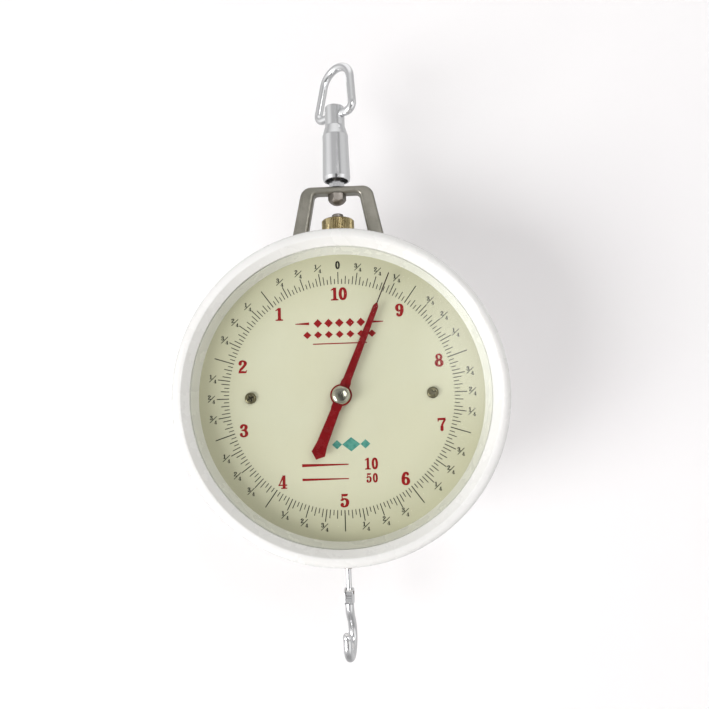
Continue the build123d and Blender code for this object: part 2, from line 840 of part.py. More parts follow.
# Rod from the crosshead to the hook: threaded above, a drilled eye forged at the lower end.
with BuildPart() as load_rod:
    with BuildSketch(level(rod_top)):
        Circle(rod_thread_radius)
    extrude(amount=-(rod_top - rod_shoulder))
    chamfer(load_rod.faces().sort_by(Axis.Z)[-1].edges(), 0.4)
    with BuildSketch(level(rod_shoulder)):
        Circle(rod_radius)
    extrude(amount=-(rod_shoulder - pin_height))
    with BuildSketch(hook_plane):
        Circle(eye_radius)
    extrude(amount=eye_half_thick, both=True)
    with BuildSketch(hook_plane):
        Circle(pin_radius + running_gap)
    extrude(amount=2 * rod_radius, both=True, mode=Mode.SUBTRACT)
load_rod.part.move(set_back)
load_rod.part.label = "load_rod"
export_step(load_rod.part, "parts/load_rod.step")

with BuildPart() as rod_nuts:
    with BuildSketch(level(cross_high)):
        RegularPolygon(rod_nut_flats / 2, 6, major_radius=False)
        Circle(rod_thread_radius, mode=Mode.SUBTRACT)
    extrude(amount=rod_nut_high)
    with BuildSketch(level(cross_low)):
        RegularPolygon(rod_nut_flats / 2, 6, major_radius=False)
        Circle(rod_thread_radius, mode=Mode.SUBTRACT)
    extrude(amount=-rod_nut_high)
rod_nuts.part.move(set_back)
rod_nuts.part.label = "rod_nuts"
export_step(rod_nuts.part, "parts/rod_nuts.step")

bush_flange_radius = 5.6
bush_top = -91.0
bush_nose_radius = 3.2
bush_flange_high = -case_radius - 0.1
bush_flange_thick = 2.0
bush_nose_slope = 0.6

# Guide bush in the bottom of the case: flange outside, narrow nose below it.
with BuildPart() as bottom_bush:
    with BuildSketch(hang):
        Polygon(
            (rod_radius + running_gap, bush_top),
            (bush_radius, bush_top),
            (bush_radius, bush_flange_high),
            (bush_flange_radius, bush_flange_high),
            (bush_flange_radius, bush_flange_high - bush_flange_thick),
            (bush_nose_radius, bush_flange_high - bush_flange_thick - bush_nose_slope),
            (bush_nose_radius, bush_low),
            (rod_radius + running_gap, bush_low),
            align=None,
        )
    revolve(axis=load_axis)
bottom_bush.part.move(set_back)
bottom_bush.part.label = "bottom_bush"
export_step(bottom_bush.part, "parts/bottom_bush.step")

# Collar on the rod: it stops against the bush, which holds the springs' preload.
with BuildPart() as stop_collar:
    with BuildSketch(level(collar_low)):
        Circle(rod_radius + 0.9)
        Circle(rod_radius, mode=Mode.SUBTRACT)
    extrude(amount=bush_low - running_gap - collar_low)
stop_collar.part.move(set_back)
stop_collar.part.label = "stop_collar"
export_step(stop_collar.part, "parts/stop_collar.step")

fork_wide = 5.6
fork_deep = 7.0
fork_high = 2.9
fork_slot = 3.7
fork_floor = -3.0
fork_round_top = 2.8
fork_round_foot = 2.0
fork_edge_round = 0.5
pin_end = 0.4
shank_start = -7.0
shank_top = shank_start + 1.5
shank_drop = shank_top + bowl_drop
shank_turn = 2 * degrees(atan(bowl_radius / shank_drop))
shank_bend = shank_drop / (2 * sin(radians(shank_turn)))
tip_bend = 14.0
tip_turn = 19
tip_radius = 2.85

# Hook: forked head on the pin, shank bent back, round bowl under the load line, ball on the tip.
with BuildPart() as load_hook:
    with BuildSketch(hook_plane) as fork_side:
        with Locations((0, (fork_high + shank_start) / 2)):
            Rectangle(fork_deep, fork_high - shank_start)
        fillet(fork_side.vertices().group_by(Axis.Y)[-1], fork_round_top)
        fillet(fork_side.vertices().group_by(Axis.Y)[0], fork_round_foot)
    extrude(amount=fork_wide / 2, both=True)
    fillet(load_hook.edges().filter_by(lambda edge: edge.length > 3), fork_edge_round)
    with BuildLine(hook_plane) as hook_path:
        CenterArc((-shank_bend, shank_top), shank_bend, 0, -shank_turn)
        CenterArc((shank_bend - bowl_radius, -bowl_drop), shank_bend, 180 - shank_turn, shank_turn)
        CenterArc((0, -bowl_drop), bowl_radius, 180, 180)
        CenterArc((bowl_radius + tip_bend, -bowl_drop), tip_bend, 180, -tip_turn)
    with BuildSketch(Plane(hook_path.line @ 0, z_dir=hook_path.line % 0)):
        Circle(hook_wire)
    sweep()
    with Locations(hook_path.line @ 1):
        Sphere(tip_radius)
    with BuildSketch(hook_plane):
        with Locations((0, (fork_high + fork_floor) / 2 + 1)):
            Rectangle(2 * fork_deep, fork_high - fork_floor + 2)
    extrude(amount=fork_slot / 2, both=True, mode=Mode.SUBTRACT)
    with BuildSketch(hook_plane):
        Circle(pin_radius)
    extrude(amount=fork_wide, both=True, mode=Mode.SUBTRACT)
load_hook.part.move(set_back)
load_hook.part.label = "load_hook"
export_step(load_hook.part, "parts/load_hook.step")

with BuildPart() as hook_pin:
    with BuildSketch(hook_plane):
        Circle(pin_radius)
    extrude(amount=fork_wide / 2 + pin_end, both=True)
    fillet(hook_pin.edges().filter_by(GeomType.CIRCLE), 0.35)
hook_pin.part.move(set_back)
hook_pin.part.label = "hook_pin"
export_step(hook_pin.part, "parts/hook_pin.step")

# ---------------------------------------------------------------- rack and pinion
tooth_pitch = pi * module
rack_line = -pitch_radius
rack_root_x = rack_line - rack_root
rack_tip_x = rack_line + rack_tip
rack_top = tooth_pitch * rack_teeth_above + 3
rack_half_at_pitch = tooth_pitch / 4 - backlash / 4


def rack_teeth():
    """Corner points up the toothed edge of the rack; one tooth sits level with the pinion's axis."""
    points = []
    half_root = rack_half_at_pitch + rack_root * tan(pressure)
    half_tip = rack_half_at_pitch - rack_tip * tan(pressure)
    for count in range(-rack_teeth_below, rack_teeth_above + 1):
        middle = count * tooth_pitch
        points += [
            (rack_root_x, middle - half_root),
            (rack_tip_x, middle - half_tip),
            (rack_tip_x, middle + half_tip),
            (rack_root_x, middle + half_root),
        ]
    return points


rack_foot_high = 3.0
rack_foot_left = -19.0
rack_screw_places = [(-12.4, 0), (-16.6, 0)]
rack_screw_radius = 1.0

# Rack that stands on the crosshead and drives the pinion.
with BuildPart() as rack:
    with BuildSketch(hang):
        Polygon(
            (-rack_back, cross_high),
            (rack_root_x, cross_high),
            *rack_teeth(),
            (rack_root_x, rack_top),
            (-rack_back, rack_top),
            align=None,
        )
    extrude(amount=rack_wide / 2, both=True)
    with BuildSketch(level(cross_high)):
        with Locations(((rack_foot_left - rack_back) / 2, 0)):
            Rectangle(-rack_back - rack_foot_left, rack_wide)
    extrude(amount=rack_foot_high)
    with BuildSketch(level(cross_high)):
        with Locations(rack_screw_places):
            Circle(rack_screw_radius + 0.1)
    extrude(amount=rack_foot_high, mode=Mode.SUBTRACT)
rack.part.move(set_back)
rack.part.label = "rack"
export_step(rack.part, "parts/rack.step")

base_radius = pitch_radius * cos(pressure)
outer_radius = pitch_radius + pinion_tip
root_radius = pitch_radius - pinion_root


def involute(radius, side):
    """Point of a tooth's flank at a radius, for a tooth centred on local x; side is 1 or -1."""
    roll = sqrt(max((radius / base_radius) ** 2 - 1, 0))
    at_pitch = tan(pressure) - pressure
    half_tooth = (tooth_pitch / 4 - backlash / 4) / pitch_radius
    turn = half_tooth + at_pitch - (roll - atan(roll))
    return (radius * cos(turn), side * radius * sin(turn))


flank_steps = 5
flank_radii = [
    base_radius + (outer_radius - base_radius) * step / flank_steps for step in range(flank_steps + 1)
]
half_space = pi / pinion_teeth
tooth_root_turn = atan(involute(base_radius, 1)[1] / involute(base_radius, 1)[0])
tooth_root = (root_radius * cos(tooth_root_turn), root_radius * sin(tooth_root_turn))

with BuildSketch(mode=Mode.PRIVATE) as tooth:
    with BuildLine():
        upper = Spline([involute(radius, 1) for radius in flank_radii])
        lower = Spline([involute(radius, -1) for radius in flank_radii])
        Line(upper @ 1, lower @ 1)
        Polyline(upper @ 0, tooth_root, (0, 0), (tooth_root[0], -tooth_root[1]), lower @ 0)
    make_face()

# Pinion with a tooth space towards the rack.
with BuildPart() as pinion:
    with BuildSketch(face_at(load_depth)):
        Circle(root_radius)
        with PolarLocations(0, pinion_teeth, start_angle=degrees(half_space)):
            add(tooth.sketch)
        Circle(spindle_radius, mode=Mode.SUBTRACT)
    extrude(amount=pinion_wide / 2, both=True)
pinion.part.move(set_back)
pinion.part.label = "pinion"
export_step(pinion.part, "parts/pinion.step")

with BuildPart() as spindle:
    with BuildSketch(face_at(spindle_front)):
        Circle(spindle_radius)
    extrude(amount=-(spindle_rear - spindle_front))
    chamfer(spindle.edges().filter_by(GeomType.CIRCLE), 0.3)
spindle.part.move(set_back)
spindle.part.label = "spindle"
export_step(spindle.part, "parts/spindle.step")

bush_bore = spindle_radius + 0.05
bush_collar = 6.0
bush_collar_thick = 1.6

with BuildPart() as front_bush:
    with BuildSketch(Plane.XY):
        Polygon(
            (bush_bore, front_plate_depth),
            (front_bush_radius, front_plate_depth),
            (front_bush_radius, post_front),
            (bush_collar, post_front),
            (bush_collar, post_front + bush_collar_thick),
            (bush_bore, post_front + bush_collar_thick),
            align=None,
        )
    revolve(axis=Axis.Y)
front_bush.part.move(set_back)
front_bush.part.label = "front_bush"
export_step(front_bush.part, "parts/front_bush.step")

with BuildPart() as rear_bush:
    with BuildSketch(Plane.XY):
        Polygon(
            (bush_bore, rear_plate_depth + plate_thick),
            (rear_bush_radius, rear_plate_depth + plate_thick),
            (rear_bush_radius, rear_plate_depth),
            (bush_collar, rear_plate_depth),
            (bush_collar, rear_plate_depth - bush_collar_thick),
            (bush_bore, rear_plate_depth - bush_collar_thick),
            align=None,
        )
    revolve(axis=Axis.Y)
rear_bush.part.move(set_back)
rear_bush.part.label = "rear_bush"
export_step(rear_bush.part, "parts/rear_bush.step")

collar_radius = 3.5
collar_gap = 0.3
front_collar_depth = post_front + bush_collar_thick + collar_gap
rear_collar_depth = rear_plate_depth - bush_collar_thick - collar_gap
collar_thick = 3.0

# Two collars locate the spindle between its bushes.
with BuildPart() as spindle_collars:
    with BuildSketch(face_at(front_collar_depth)):
        Circle(collar_radius)
        Circle(spindle_radius, mode=Mode.SUBTRACT)
    extrude(amount=-collar_thick)
    with BuildSketch(face_at(rear_collar_depth)):
        Circle(collar_radius)
        Circle(spindle_radius, mode=Mode.SUBTRACT)
    extrude(amount=collar_thick)
spindle_collars.part.move(set_back)
spindle_collars.part.label = "spindle_collars"
export_step(spindle_collars.part, "parts/spindle_collars.step")

guide_back = 17.0
guide_front = 8.4
guide_half = 6.0
guide_wall = 3.0
slot_back = rack_back + running_gap
slot_near = load_depth - rack_wide / 2 - running_gap
slot_far = load_depth + rack_wide / 2 + running_gap
guide_screw_deep = 7.0
guide_head_radius = 2.3
guide_head_high = 1.5
guide_screw_places = [(-guide_screw_x, guide_screw_z), (-guide_screw_x, -guide_screw_z)]

# Brass block that keeps the rack's back and sides in line with the pinion.
with BuildPart() as rack_guide:
    with BuildSketch(Plane.XY.offset(-guide_half)):
        Polygon(
            (-guide_back, post_front),
            (-guide_front, post_front),
            (-guide_front, slot_near),
            (-slot_back, slot_near),
            (-slot_back, slot_far),
            (-guide_front, slot_far),
            (-guide_front, slot_far + guide_wall),
            (-guide_back, slot_far + guide_wall),
            align=None,
        )
    extrude(amount=2 * guide_half)
    with BuildSketch(face_at(post_front)):
        with Locations(guide_screw_places):
            Circle(guide_screw_radius)
    extrude(amount=-guide_screw_deep, mode=Mode.SUBTRACT)
rack_guide.part.move(set_back)
rack_guide.part.label = "rack_guide"
export_step(rack_guide.part, "parts/rack_guide.step")

with BuildPart() as guide_screws:
    with BuildSketch(face_at(front_plate_depth)):
        with Locations(guide_screw_places):
            Circle(guide_head_radius)
    extrude(amount=guide_head_high)
    with BuildSketch(face_at(front_plate_depth)):
        with Locations(guide_screw_places):
            Circle(guide_screw_radius)
    extrude(amount=-(plate_thick + guide_screw_deep))
    with BuildSketch(face_at(front_plate_depth - guide_head_high)):
        with Locations(guide_screw_places):
            Rectangle(2 * guide_head_radius, 0.7)
    extrude(amount=-0.8, mode=Mode.SUBTRACT)
guide_screws.part.move(set_back)
guide_screws.part.label = "guide_screws"
export_step(guide_screws.part, "parts/guide_screws.step")

rack_head_radius = 1.7
rack_head_high = 1.3

# Two slotted screws through the rack's foot into the crosshead.
with BuildPart() as rack_screws:
    with BuildSketch(level(cross_high + rack_foot_high)):
        with Locations(rack_screw_places):
            Circle(rack_head_radius)
    extrude(amount=rack_head_high)
    with BuildSketch(level(cross_high)):
        with Locations(rack_screw_places):
            Circle(rack_screw_radius)
    extrude(amount=rack_foot_high)
    with BuildSketch(level(cross_high + rack_foot_high + rack_head_high)):
        with Locations(rack_screw_places):
            Rectangle(2 * rack_head_radius, 0.5)
    extrude(amount=-0.6, mode=Mode.SUBTRACT)
rack_screws.part.move(set_back)
rack_screws.part.label = "rack_screws"
export_step(rack_screws.part, "parts/rack_screws.step")

# ---------------------------------------------------------------- pointer
def pointer_face(depth):
    """Plane in front of the dial with local y along the pointer, from its tail to its tip."""
    return Plane(
        (0, depth, 0),
        x_dir=(cos(pointer_lean), 0, -sin(pointer_lean)),
        z_dir=(0, -1, 0),
    )


def folded_edge(side, near_half, near, far_half, far):
    """Strip just inside one long edge of the pointer, where the sheet is folded back."""
    Polygon(
        (side * near_half, near),
        (side * far_half, far),
        (side * (far_half - flange_wide), far),
        (side * (near_half - flange_wide), near),
        align=None,
    )


pointer_front = pointer_rear - pointer_sheet
pointer_side = [
    (tail_end_half, -tail_reach),
    (tail_fold_half, -tail_fold_end),
    (tail_half, -fold_start),
    (shoulder_half, -shoulder_reach),
    (shoulder_half, shoulder_reach),
    (body_half, fold_start),
    (neck_half, body_reach),
    (needle_half, needle_start),
    (needle_half, needle_reach - needle_point),
]
pointer_far_side = [(-across, along) for across, along in reversed(pointer_side)]
shortest_fold = tail_fold_end - fold_start - 1

# Pressed sheet pointer: tail, hub disc, body and needle, with the long edges folded back.
with BuildPart() as pointer:
    with BuildSketch(pointer_face(pointer_rear)):
        Polygon(
            (0, -tail_point),
            *pointer_side,
            (0, needle_reach),
            *pointer_far_side,
            align=None,
        )
        Circle(hub_disc)
        Circle(spindle_radius, mode=Mode.SUBTRACT)
    extrude(amount=pointer_sheet)
    front_edges = pointer.faces().sort_by(Axis.Y)[0].edges()
    folds = front_edges.filter_by(
        lambda edge: edge.length > shortest_fold and edge.length < body_reach
    )
    fillet(folds, fold_round)
    with BuildSketch(pointer_face(pointer_rear)):
        for side in (-1, 1):
            folded_edge(side, body_half, fold_start, neck_half, body_reach)
            folded_edge(side, tail_half, -fold_start, tail_fold_half, -tail_fold_end)
    extrude(amount=-flange_deep)
pointer.part.move(set_back)
pointer.part.label = "pointer"
export_step(pointer.part, "parts/pointer.step")

hub_radius = 3.2
hub_clear = 0.3

with BuildPart() as pointer_hub:
    with BuildSketch(face_at(-hub_clear)):
        Circle(hub_radius)
        Circle(spindle_radius, mode=Mode.SUBTRACT)
    extrude(amount=-pointer_rear - hub_clear)
pointer_hub.part.move(set_back)
pointer_hub.part.label = "pointer_hub"
export_step(pointer_hub.part, "parts/pointer_hub.step")

cap_edge = 0.9

# Polished domed cap that holds the pointer on the spindle.
with BuildPart() as pointer_cap:
    with BuildSketch(Plane.XY):
        with BuildLine():
            Line((0, cap_front), (0, spindle_front))
            Line((0, spindle_front), (spindle_radius, spindle_front))
            Line((spindle_radius, spindle_front), (spindle_radius, pointer_front))
            Line((spindle_radius, pointer_front), (cap_radius, pointer_front))
            Line((cap_radius, pointer_front), (cap_radius, pointer_front - cap_edge))
            Spline(
                (cap_radius, pointer_front - cap_edge),
                (0, cap_front),
                tangents=((0, -1), (-1, 0)),
            )
        make_face()
    revolve(axis=Axis.Y)
pointer_cap.part.move(set_back)
pointer_cap.part.label = "pointer_cap"
export_step(pointer_cap.part, "parts/pointer_cap.step")
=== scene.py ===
import json
from math import cos, pi, radians, sin

import bmesh
import bpy
from mathutils import Matrix, Vector
from mathutils.geometry import delaunay_2d_cdt


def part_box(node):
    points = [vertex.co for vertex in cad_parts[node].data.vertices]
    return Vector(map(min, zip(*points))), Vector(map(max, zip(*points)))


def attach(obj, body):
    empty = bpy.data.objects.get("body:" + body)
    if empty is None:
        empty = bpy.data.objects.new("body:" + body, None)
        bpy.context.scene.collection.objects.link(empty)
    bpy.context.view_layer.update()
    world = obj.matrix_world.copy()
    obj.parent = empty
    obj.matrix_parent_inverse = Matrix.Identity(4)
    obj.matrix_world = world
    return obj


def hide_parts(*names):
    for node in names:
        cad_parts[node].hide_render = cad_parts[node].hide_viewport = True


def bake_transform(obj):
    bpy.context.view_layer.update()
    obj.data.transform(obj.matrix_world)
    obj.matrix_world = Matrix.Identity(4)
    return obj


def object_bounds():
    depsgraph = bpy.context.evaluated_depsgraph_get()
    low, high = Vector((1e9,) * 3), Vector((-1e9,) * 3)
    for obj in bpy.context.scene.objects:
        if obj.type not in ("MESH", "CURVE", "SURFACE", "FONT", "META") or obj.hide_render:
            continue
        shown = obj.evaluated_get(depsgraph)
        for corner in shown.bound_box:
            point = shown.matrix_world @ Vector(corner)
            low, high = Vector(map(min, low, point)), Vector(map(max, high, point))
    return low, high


# Looks for the hanging spring scale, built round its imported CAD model.
# Metres, in the CAD's frame: +X right, +Y back into the case, +Z up, with the origin on the
# pointer's axis in the case's back. Print on the dial is drawn in millimetres round that axis.

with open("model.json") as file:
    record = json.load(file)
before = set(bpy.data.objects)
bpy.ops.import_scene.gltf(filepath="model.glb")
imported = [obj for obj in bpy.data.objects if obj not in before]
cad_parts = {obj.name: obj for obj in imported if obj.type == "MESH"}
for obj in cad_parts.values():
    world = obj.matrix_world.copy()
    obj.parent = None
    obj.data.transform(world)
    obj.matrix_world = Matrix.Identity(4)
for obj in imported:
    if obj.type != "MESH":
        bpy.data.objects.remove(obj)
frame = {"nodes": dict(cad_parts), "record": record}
cad_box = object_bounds()
nodes = frame["nodes"]
MM = 0.001
DIAL_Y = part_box("dial_plate")[0].y


# ---------------------------------------------------------------- node helpers
class Look:
    """One Principled material with a few helpers for its nodes."""

    def __init__(self, name):
        self.material = bpy.data.materials.new(name)
        self.material.use_nodes = True
        self.tree = self.material.node_tree
        self.shader = self.tree.nodes["Principled BSDF"]
        self.output = self.tree.nodes["Material Output"]

    def add(self, kind, **settings):
        node = self.tree.nodes.new(kind)
        for key, value in settings.items():
            setattr(node, key, value)
        return node

    def join(self, source, target):
        self.tree.links.new(source, target)

    def set(self, **values):
        for key, value in values.items():
            self.shader.inputs[key.replace("_", " ")].default_value = value

    def place(self):
        """Position in metres. CAD nodes and new pieces all sit at the origin, so it is the frame's."""
        return self.add("ShaderNodeTexCoord").outputs["Object"]

    def from_axis(self):
        """Distance from the pointer's axis."""
        flat = self.add("ShaderNodeVectorMath", operation="MULTIPLY")
        self.join(self.place(), flat.inputs[0])
        flat.inputs[1].default_value = (1, 0, 1)
        length = self.add("ShaderNodeVectorMath", operation="LENGTH")
        self.join(flat.outputs["Vector"], length.inputs[0])
        return length.outputs["Value"]

    def noise(self, scale, detail=4.0, rough=0.55, stretch=(1, 1, 1)):
        mapping = self.add("ShaderNodeMapping")
        mapping.inputs["Scale"].default_value = stretch
        self.join(self.place(), mapping.inputs["Vector"])
        node = self.add("ShaderNodeTexNoise")
        node.inputs["Scale"].default_value = scale
        node.inputs["Detail"].default_value = detail
        node.inputs["Roughness"].default_value = rough
        self.join(mapping.outputs["Vector"], node.inputs["Vector"])
        return node.outputs["Fac"]

    def spread(self, source, low, high, from_low=0.3, from_high=0.7):
        """Maps part of a value's range to another range, clamped and eased."""
        node = self.add("ShaderNodeMapRange", interpolation_type="SMOOTHSTEP")
        node.inputs["From Min"].default_value = from_low
        node.inputs["From Max"].default_value = from_high
        node.inputs["To Min"].default_value = low
        node.inputs["To Max"].default_value = high
        self.join(source, node.inputs["Value"])
        return node.outputs["Result"]

    def mix(self, share, first, second):
        """Mixes two colours, each a tuple or a socket, by a socket or a number."""
        node = self.add("ShaderNodeMix", data_type="RGBA")
        for socket, value in ((node.inputs[0], share), (node.inputs[6], first), (node.inputs[7], second)):
            if isinstance(value, bpy.types.NodeSocket):
                self.join(value, socket)
            elif isinstance(value, tuple):
                socket.default_value = (*value, 1.0)
            else:
                socket.default_value = value
        return node.outputs[2]

    def times(self, first, second):
        node = self.add("ShaderNodeMath", operation="MULTIPLY")
        for socket, value in ((node.inputs[0], first), (node.inputs[1], second)):
            if isinstance(value, bpy.types.NodeSocket):
                self.join(value, socket)
            else:
                socket.default_value = value
        return node.outputs[0]

    def edges(self, radius, low=0.02, high=0.25):
        """1 on sharp edges and 0 on flat faces, from how far a rounded normal leans."""
        bevel = self.add("ShaderNodeBevel", samples=4)
        bevel.inputs["Radius"].default_value = radius
        geometry = self.add("ShaderNodeNewGeometry")
        dot = self.add("ShaderNodeVectorMath", operation="DOT_PRODUCT")
        self.join(bevel.outputs["Normal"], dot.inputs[0])
        self.join(geometry.outputs["Normal"], dot.inputs[1])
        return self.spread(dot.outputs["Value"], 1.0, 0.0, 1 - high, 1 - low)

    def crevices(self, distance):
        """1 in open air and lower in grooves and corners."""
        node = self.add("ShaderNodeAmbientOcclusion", samples=4)
        node.inputs["Distance"].default_value = distance
        return node.outputs["AO"]

    def bump(self, height, distance, strength=1.0, under=None):
        node = self.add("ShaderNodeBump")
        node.inputs["Strength"].default_value = strength
        node.inputs["Distance"].default_value = distance
        self.join(height, node.inputs["Height"])
        if under is not None:
            self.join(under, node.inputs["Normal"])
        return node.outputs["Normal"]

    def colour(self, source):
        self.join(source, self.shader.inputs["Base Color"])

    def rough(self, source):
        self.join(source, self.shader.inputs["Roughness"])

    def normal(self, source):
        self.join(source, self.shader.inputs["Normal"])


# ---------------------------------------------------------------- materials
def white_enamel():
    """Stove enamel on pressed steel: warm white, glossy, a little uneven."""
    look = Look("white_enamel")
    clouds = look.noise(24, 5)
    look.colour(look.mix(look.spread(clouds, 0, 1), (0.86, 0.855, 0.83), (0.90, 0.895, 0.875)))
    look.rough(look.spread(look.noise(60, 4), 0.20, 0.32))
    ripple = look.bump(look.noise(420, 2), 0.00006, 0.25)
    look.normal(look.bump(look.noise(1600, 3), 0.00001, 0.3, ripple))
    look.set(Coat_Weight=0.35, Coat_Roughness=0.08, IOR=1.5)
    return look.material


# Distances from the pointer's axis: where the dial's darkening, partly ageing and partly painted shade
# from the bezel, starts and is fullest, and where the pointer's paint gives way to its bare needle.
AGED_AND_SHADED_FROM = 0.050
AGED_AND_SHADED_TO = 0.093
PAINT_END = 0.0592
NEEDLE_START = 0.0606


def dial_face():
    """Printed dial: greenish cream, darker and yellower towards the rim, partly from ageing and partly as
    painted shade from the bezel, with faint mottling.
    """
    look = Look("dial_face")
    # Towards the rim the colour darkens: partly ageing, partly painted shade cast by the bezel.
    rim = look.spread(look.from_axis(), 0.0, 1.0, AGED_AND_SHADED_FROM, AGED_AND_SHADED_TO)
    middle = look.mix(look.spread(look.noise(16, 4), 0, 1), (0.715, 0.70, 0.535), (0.745, 0.735, 0.58))
    aged_and_shaded = look.mix(rim, middle, (0.57, 0.555, 0.395))
    specks = look.spread(look.noise(900, 2, 0.4), 0.0, 0.12, 0.62, 0.75)
    look.colour(look.mix(specks, aged_and_shaded, (0.42, 0.41, 0.30)))
    look.rough(look.spread(look.noise(200, 3), 0.38, 0.5))
    look.normal(look.bump(look.noise(2200, 2), 0.000006, 0.3))
    return look.material


def ink(name, base, worn):
    """Screen-printed ink with small changes of density."""
    look = Look(name)
    look.colour(look.mix(look.spread(look.noise(700, 3), 0, 1), base, worn))
    look.rough(look.spread(look.noise(300, 2), 0.4, 0.55))
    look.normal(look.bump(look.noise(2600, 2), 0.000008, 0.4))
    look.set(Specular_IOR_Level=0.2)
    return look.material


def pointer_red():
    """Deep red paint on pressed sheet, lighter on its edges, partly from wear and partly as a painted
    highlight; the bare needle beyond the folded body is dark.
    """
    look = Look("pointer_red")
    needle = look.spread(look.from_axis(), 0.0, 1.0, PAINT_END, NEEDLE_START)
    clouds = look.spread(look.noise(90, 4), 0, 1)
    paint = look.mix(clouds, (0.185, 0.0012, 0.004), (0.245, 0.003, 0.007))
    # Lighter paint on the edges: partly wear, partly a painted highlight along the folds.
    worn = look.mix(look.times(look.edges(0.0003), 0.7), paint, (0.50, 0.13, 0.11))
    look.colour(look.mix(needle, worn, (0.040, 0.018, 0.014)))
    look.rough(look.spread(look.noise(240, 3), 0.20, 0.32))
    look.normal(look.bump(look.noise(1400, 3), 0.00001, 0.35))
    look.set(Specular_IOR_Level=0.25)
    return look.material


def polished(name, tint, low, high, scratch=0.2):
    """Bright plated metal with haze, fine rubbing marks and painted shade that darkens its grooves."""
    look = Look(name)
    haze = look.noise(160, 5, 0.6)
    rubbed = look.noise(900, 3, 0.6, (1, 1, 0.12))
    dull = tuple(channel * 0.62 for channel in tint)
    # Painted shade: grooves and corners take the darker tint.
    crevice_shade = look.spread(look.crevices(0.0016), 1.0, 0.0, 0.25, 0.85)
    look.colour(look.mix(look.times(crevice_shade, 0.55), tint, dull))
    look.rough(look.spread(haze, low, high))
    look.normal(look.bump(rubbed, 0.000004, scratch))
    look.set(Metallic=0.92)
    return look.material


def steel(name, tint, low, high):
    """Plain machined or zinc-plated steel with faint brushing, dull patches and painted shade in its
    hollows.
    """
    look = Look(name)
    patches = look.spread(look.noise(120, 5, 0.65), 0, 1)
    dull = tuple(channel * 0.55 for channel in tint)
    body = look.mix(look.times(patches, 0.5), tint, dull)
    bright = tuple(min(1.0, channel * 1.5) for channel in tint)
    worn = look.mix(look.times(look.edges(0.0002), 0.6), body, bright)
    # Painted shade: hollows and corners are darkened.
    crevice_shade = look.spread(look.crevices(0.002), 1.0, 0.0, 0.3, 0.9)
    look.colour(look.mix(look.times(crevice_shade, 0.6), worn, tuple(channel * 0.25 for channel in tint)))
    look.rough(look.spread(look.noise(300, 4), low, high))
    look.normal(look.bump(look.noise(1500, 3, 0.6, (0.15, 1, 1)), 0.000012, 0.35))
    look.set(Metallic=1.0)
    return look.material


def screw_heads():
    """Tarnished nickel screw heads, worn bright on the rims, with painted shade making the cross recess
    nearly black.
    """
    look = Look("screw_heads")
    patches = look.spread(look.noise(500, 4, 0.6), 0, 1)
    body = look.mix(patches, (0.12, 0.105, 0.06), (0.22, 0.20, 0.125))
    worn = look.mix(look.times(look.edges(0.00035, 0.03, 0.3), 0.8), body, (0.52, 0.48, 0.34))
    # Painted shade: the cross recess and corners go nearly black.
    recess = look.spread(look.crevices(0.0016), 1.0, 0.0, 0.45, 0.80)
    look.colour(look.mix(recess, worn, (0.012, 0.010, 0.006)))
    look.rough(look.spread(look.noise(600, 3), 0.25, 0.4))
    look.normal(look.bump(look.noise(1500, 3), 0.00002, 0.5))
    look.set(Metallic=0.9)
    return look.material


def cast_grey():
    """Barrelled aluminium casting: satin, finely pitted, polished where edges were rubbed, with painted
    shade in its hollows and corners.
    """
    look = Look("cast_grey")
    clouds = look.spread(look.noise(70, 5, 0.6), 0, 1)
    body = look.mix(clouds, (0.235, 0.225, 0.19), (0.30, 0.285, 0.245))
    pits = look.spread(look.noise(1300, 3, 0.6), 0.0, 1.0, 0.60, 0.72)
    pitted = look.mix(look.times(pits, 0.35), body, (0.13, 0.12, 0.10))
    worn = look.mix(look.times(look.edges(0.0009), 0.35), pitted, (0.50, 0.48, 0.43))
    # Painted shade: hollows and corners are darkened.
    crevice_shade = look.spread(look.crevices(0.006), 1.0, 0.0, 0.25, 0.95)
    look.colour(look.mix(look.times(crevice_shade, 0.5), worn, (0.12, 0.10, 0.085)))
    look.rough(look.spread(look.noise(260, 4), 0.30, 0.46))
    grain = look.bump(look.noise(700, 4, 0.65), 0.00005, 0.5)
    look.normal(look.bump(look.noise(2600, 2), 0.00001, 0.4, grain))
    look.set(Metallic=0.75)
    return look.material


def brass():
    """Turned brass: warm and bright on the crests, with painted shade making the knurling grooves nearly
    black.
    """
    look = Look("brass")
    patches = look.spread(look.noise(150, 5, 0.6), 0, 1)
    body = look.mix(patches, (0.37, 0.30, 0.15), (0.54, 0.445, 0.245))
    worn = look.mix(look.times(look.edges(0.00018), 0.8), body, (0.95, 0.82, 0.54))
    # Painted shade: the knurling grooves go nearly black.
    crevice_shade = look.spread(look.crevices(0.0012), 1.0, 0.0, 0.45, 0.95)
    look.colour(look.mix(look.times(crevice_shade, 0.95), worn, (0.035, 0.024, 0.010)))
    look.rough(look.spread(look.noise(320, 4), 0.22, 0.40))
    look.normal(look.bump(look.noise(1700, 3), 0.00001, 0.4))
    look.set(Metallic=1.0)
    return look.material


def gasket_rubber():
    """Pale rubber with a dusty bloom."""
    look = Look("gasket_rubber")
    look.colour(look.mix(look.spread(look.noise(200, 4), 0, 1), (0.66, 0.65, 0.62), (0.76, 0.75, 0.72)))
    look.rough(look.spread(look.noise(400, 3), 0.6, 0.8))
    look.normal(look.bump(look.noise(1800, 3), 0.00003, 0.5))
    return look.material


LENS_IOR = 1.49


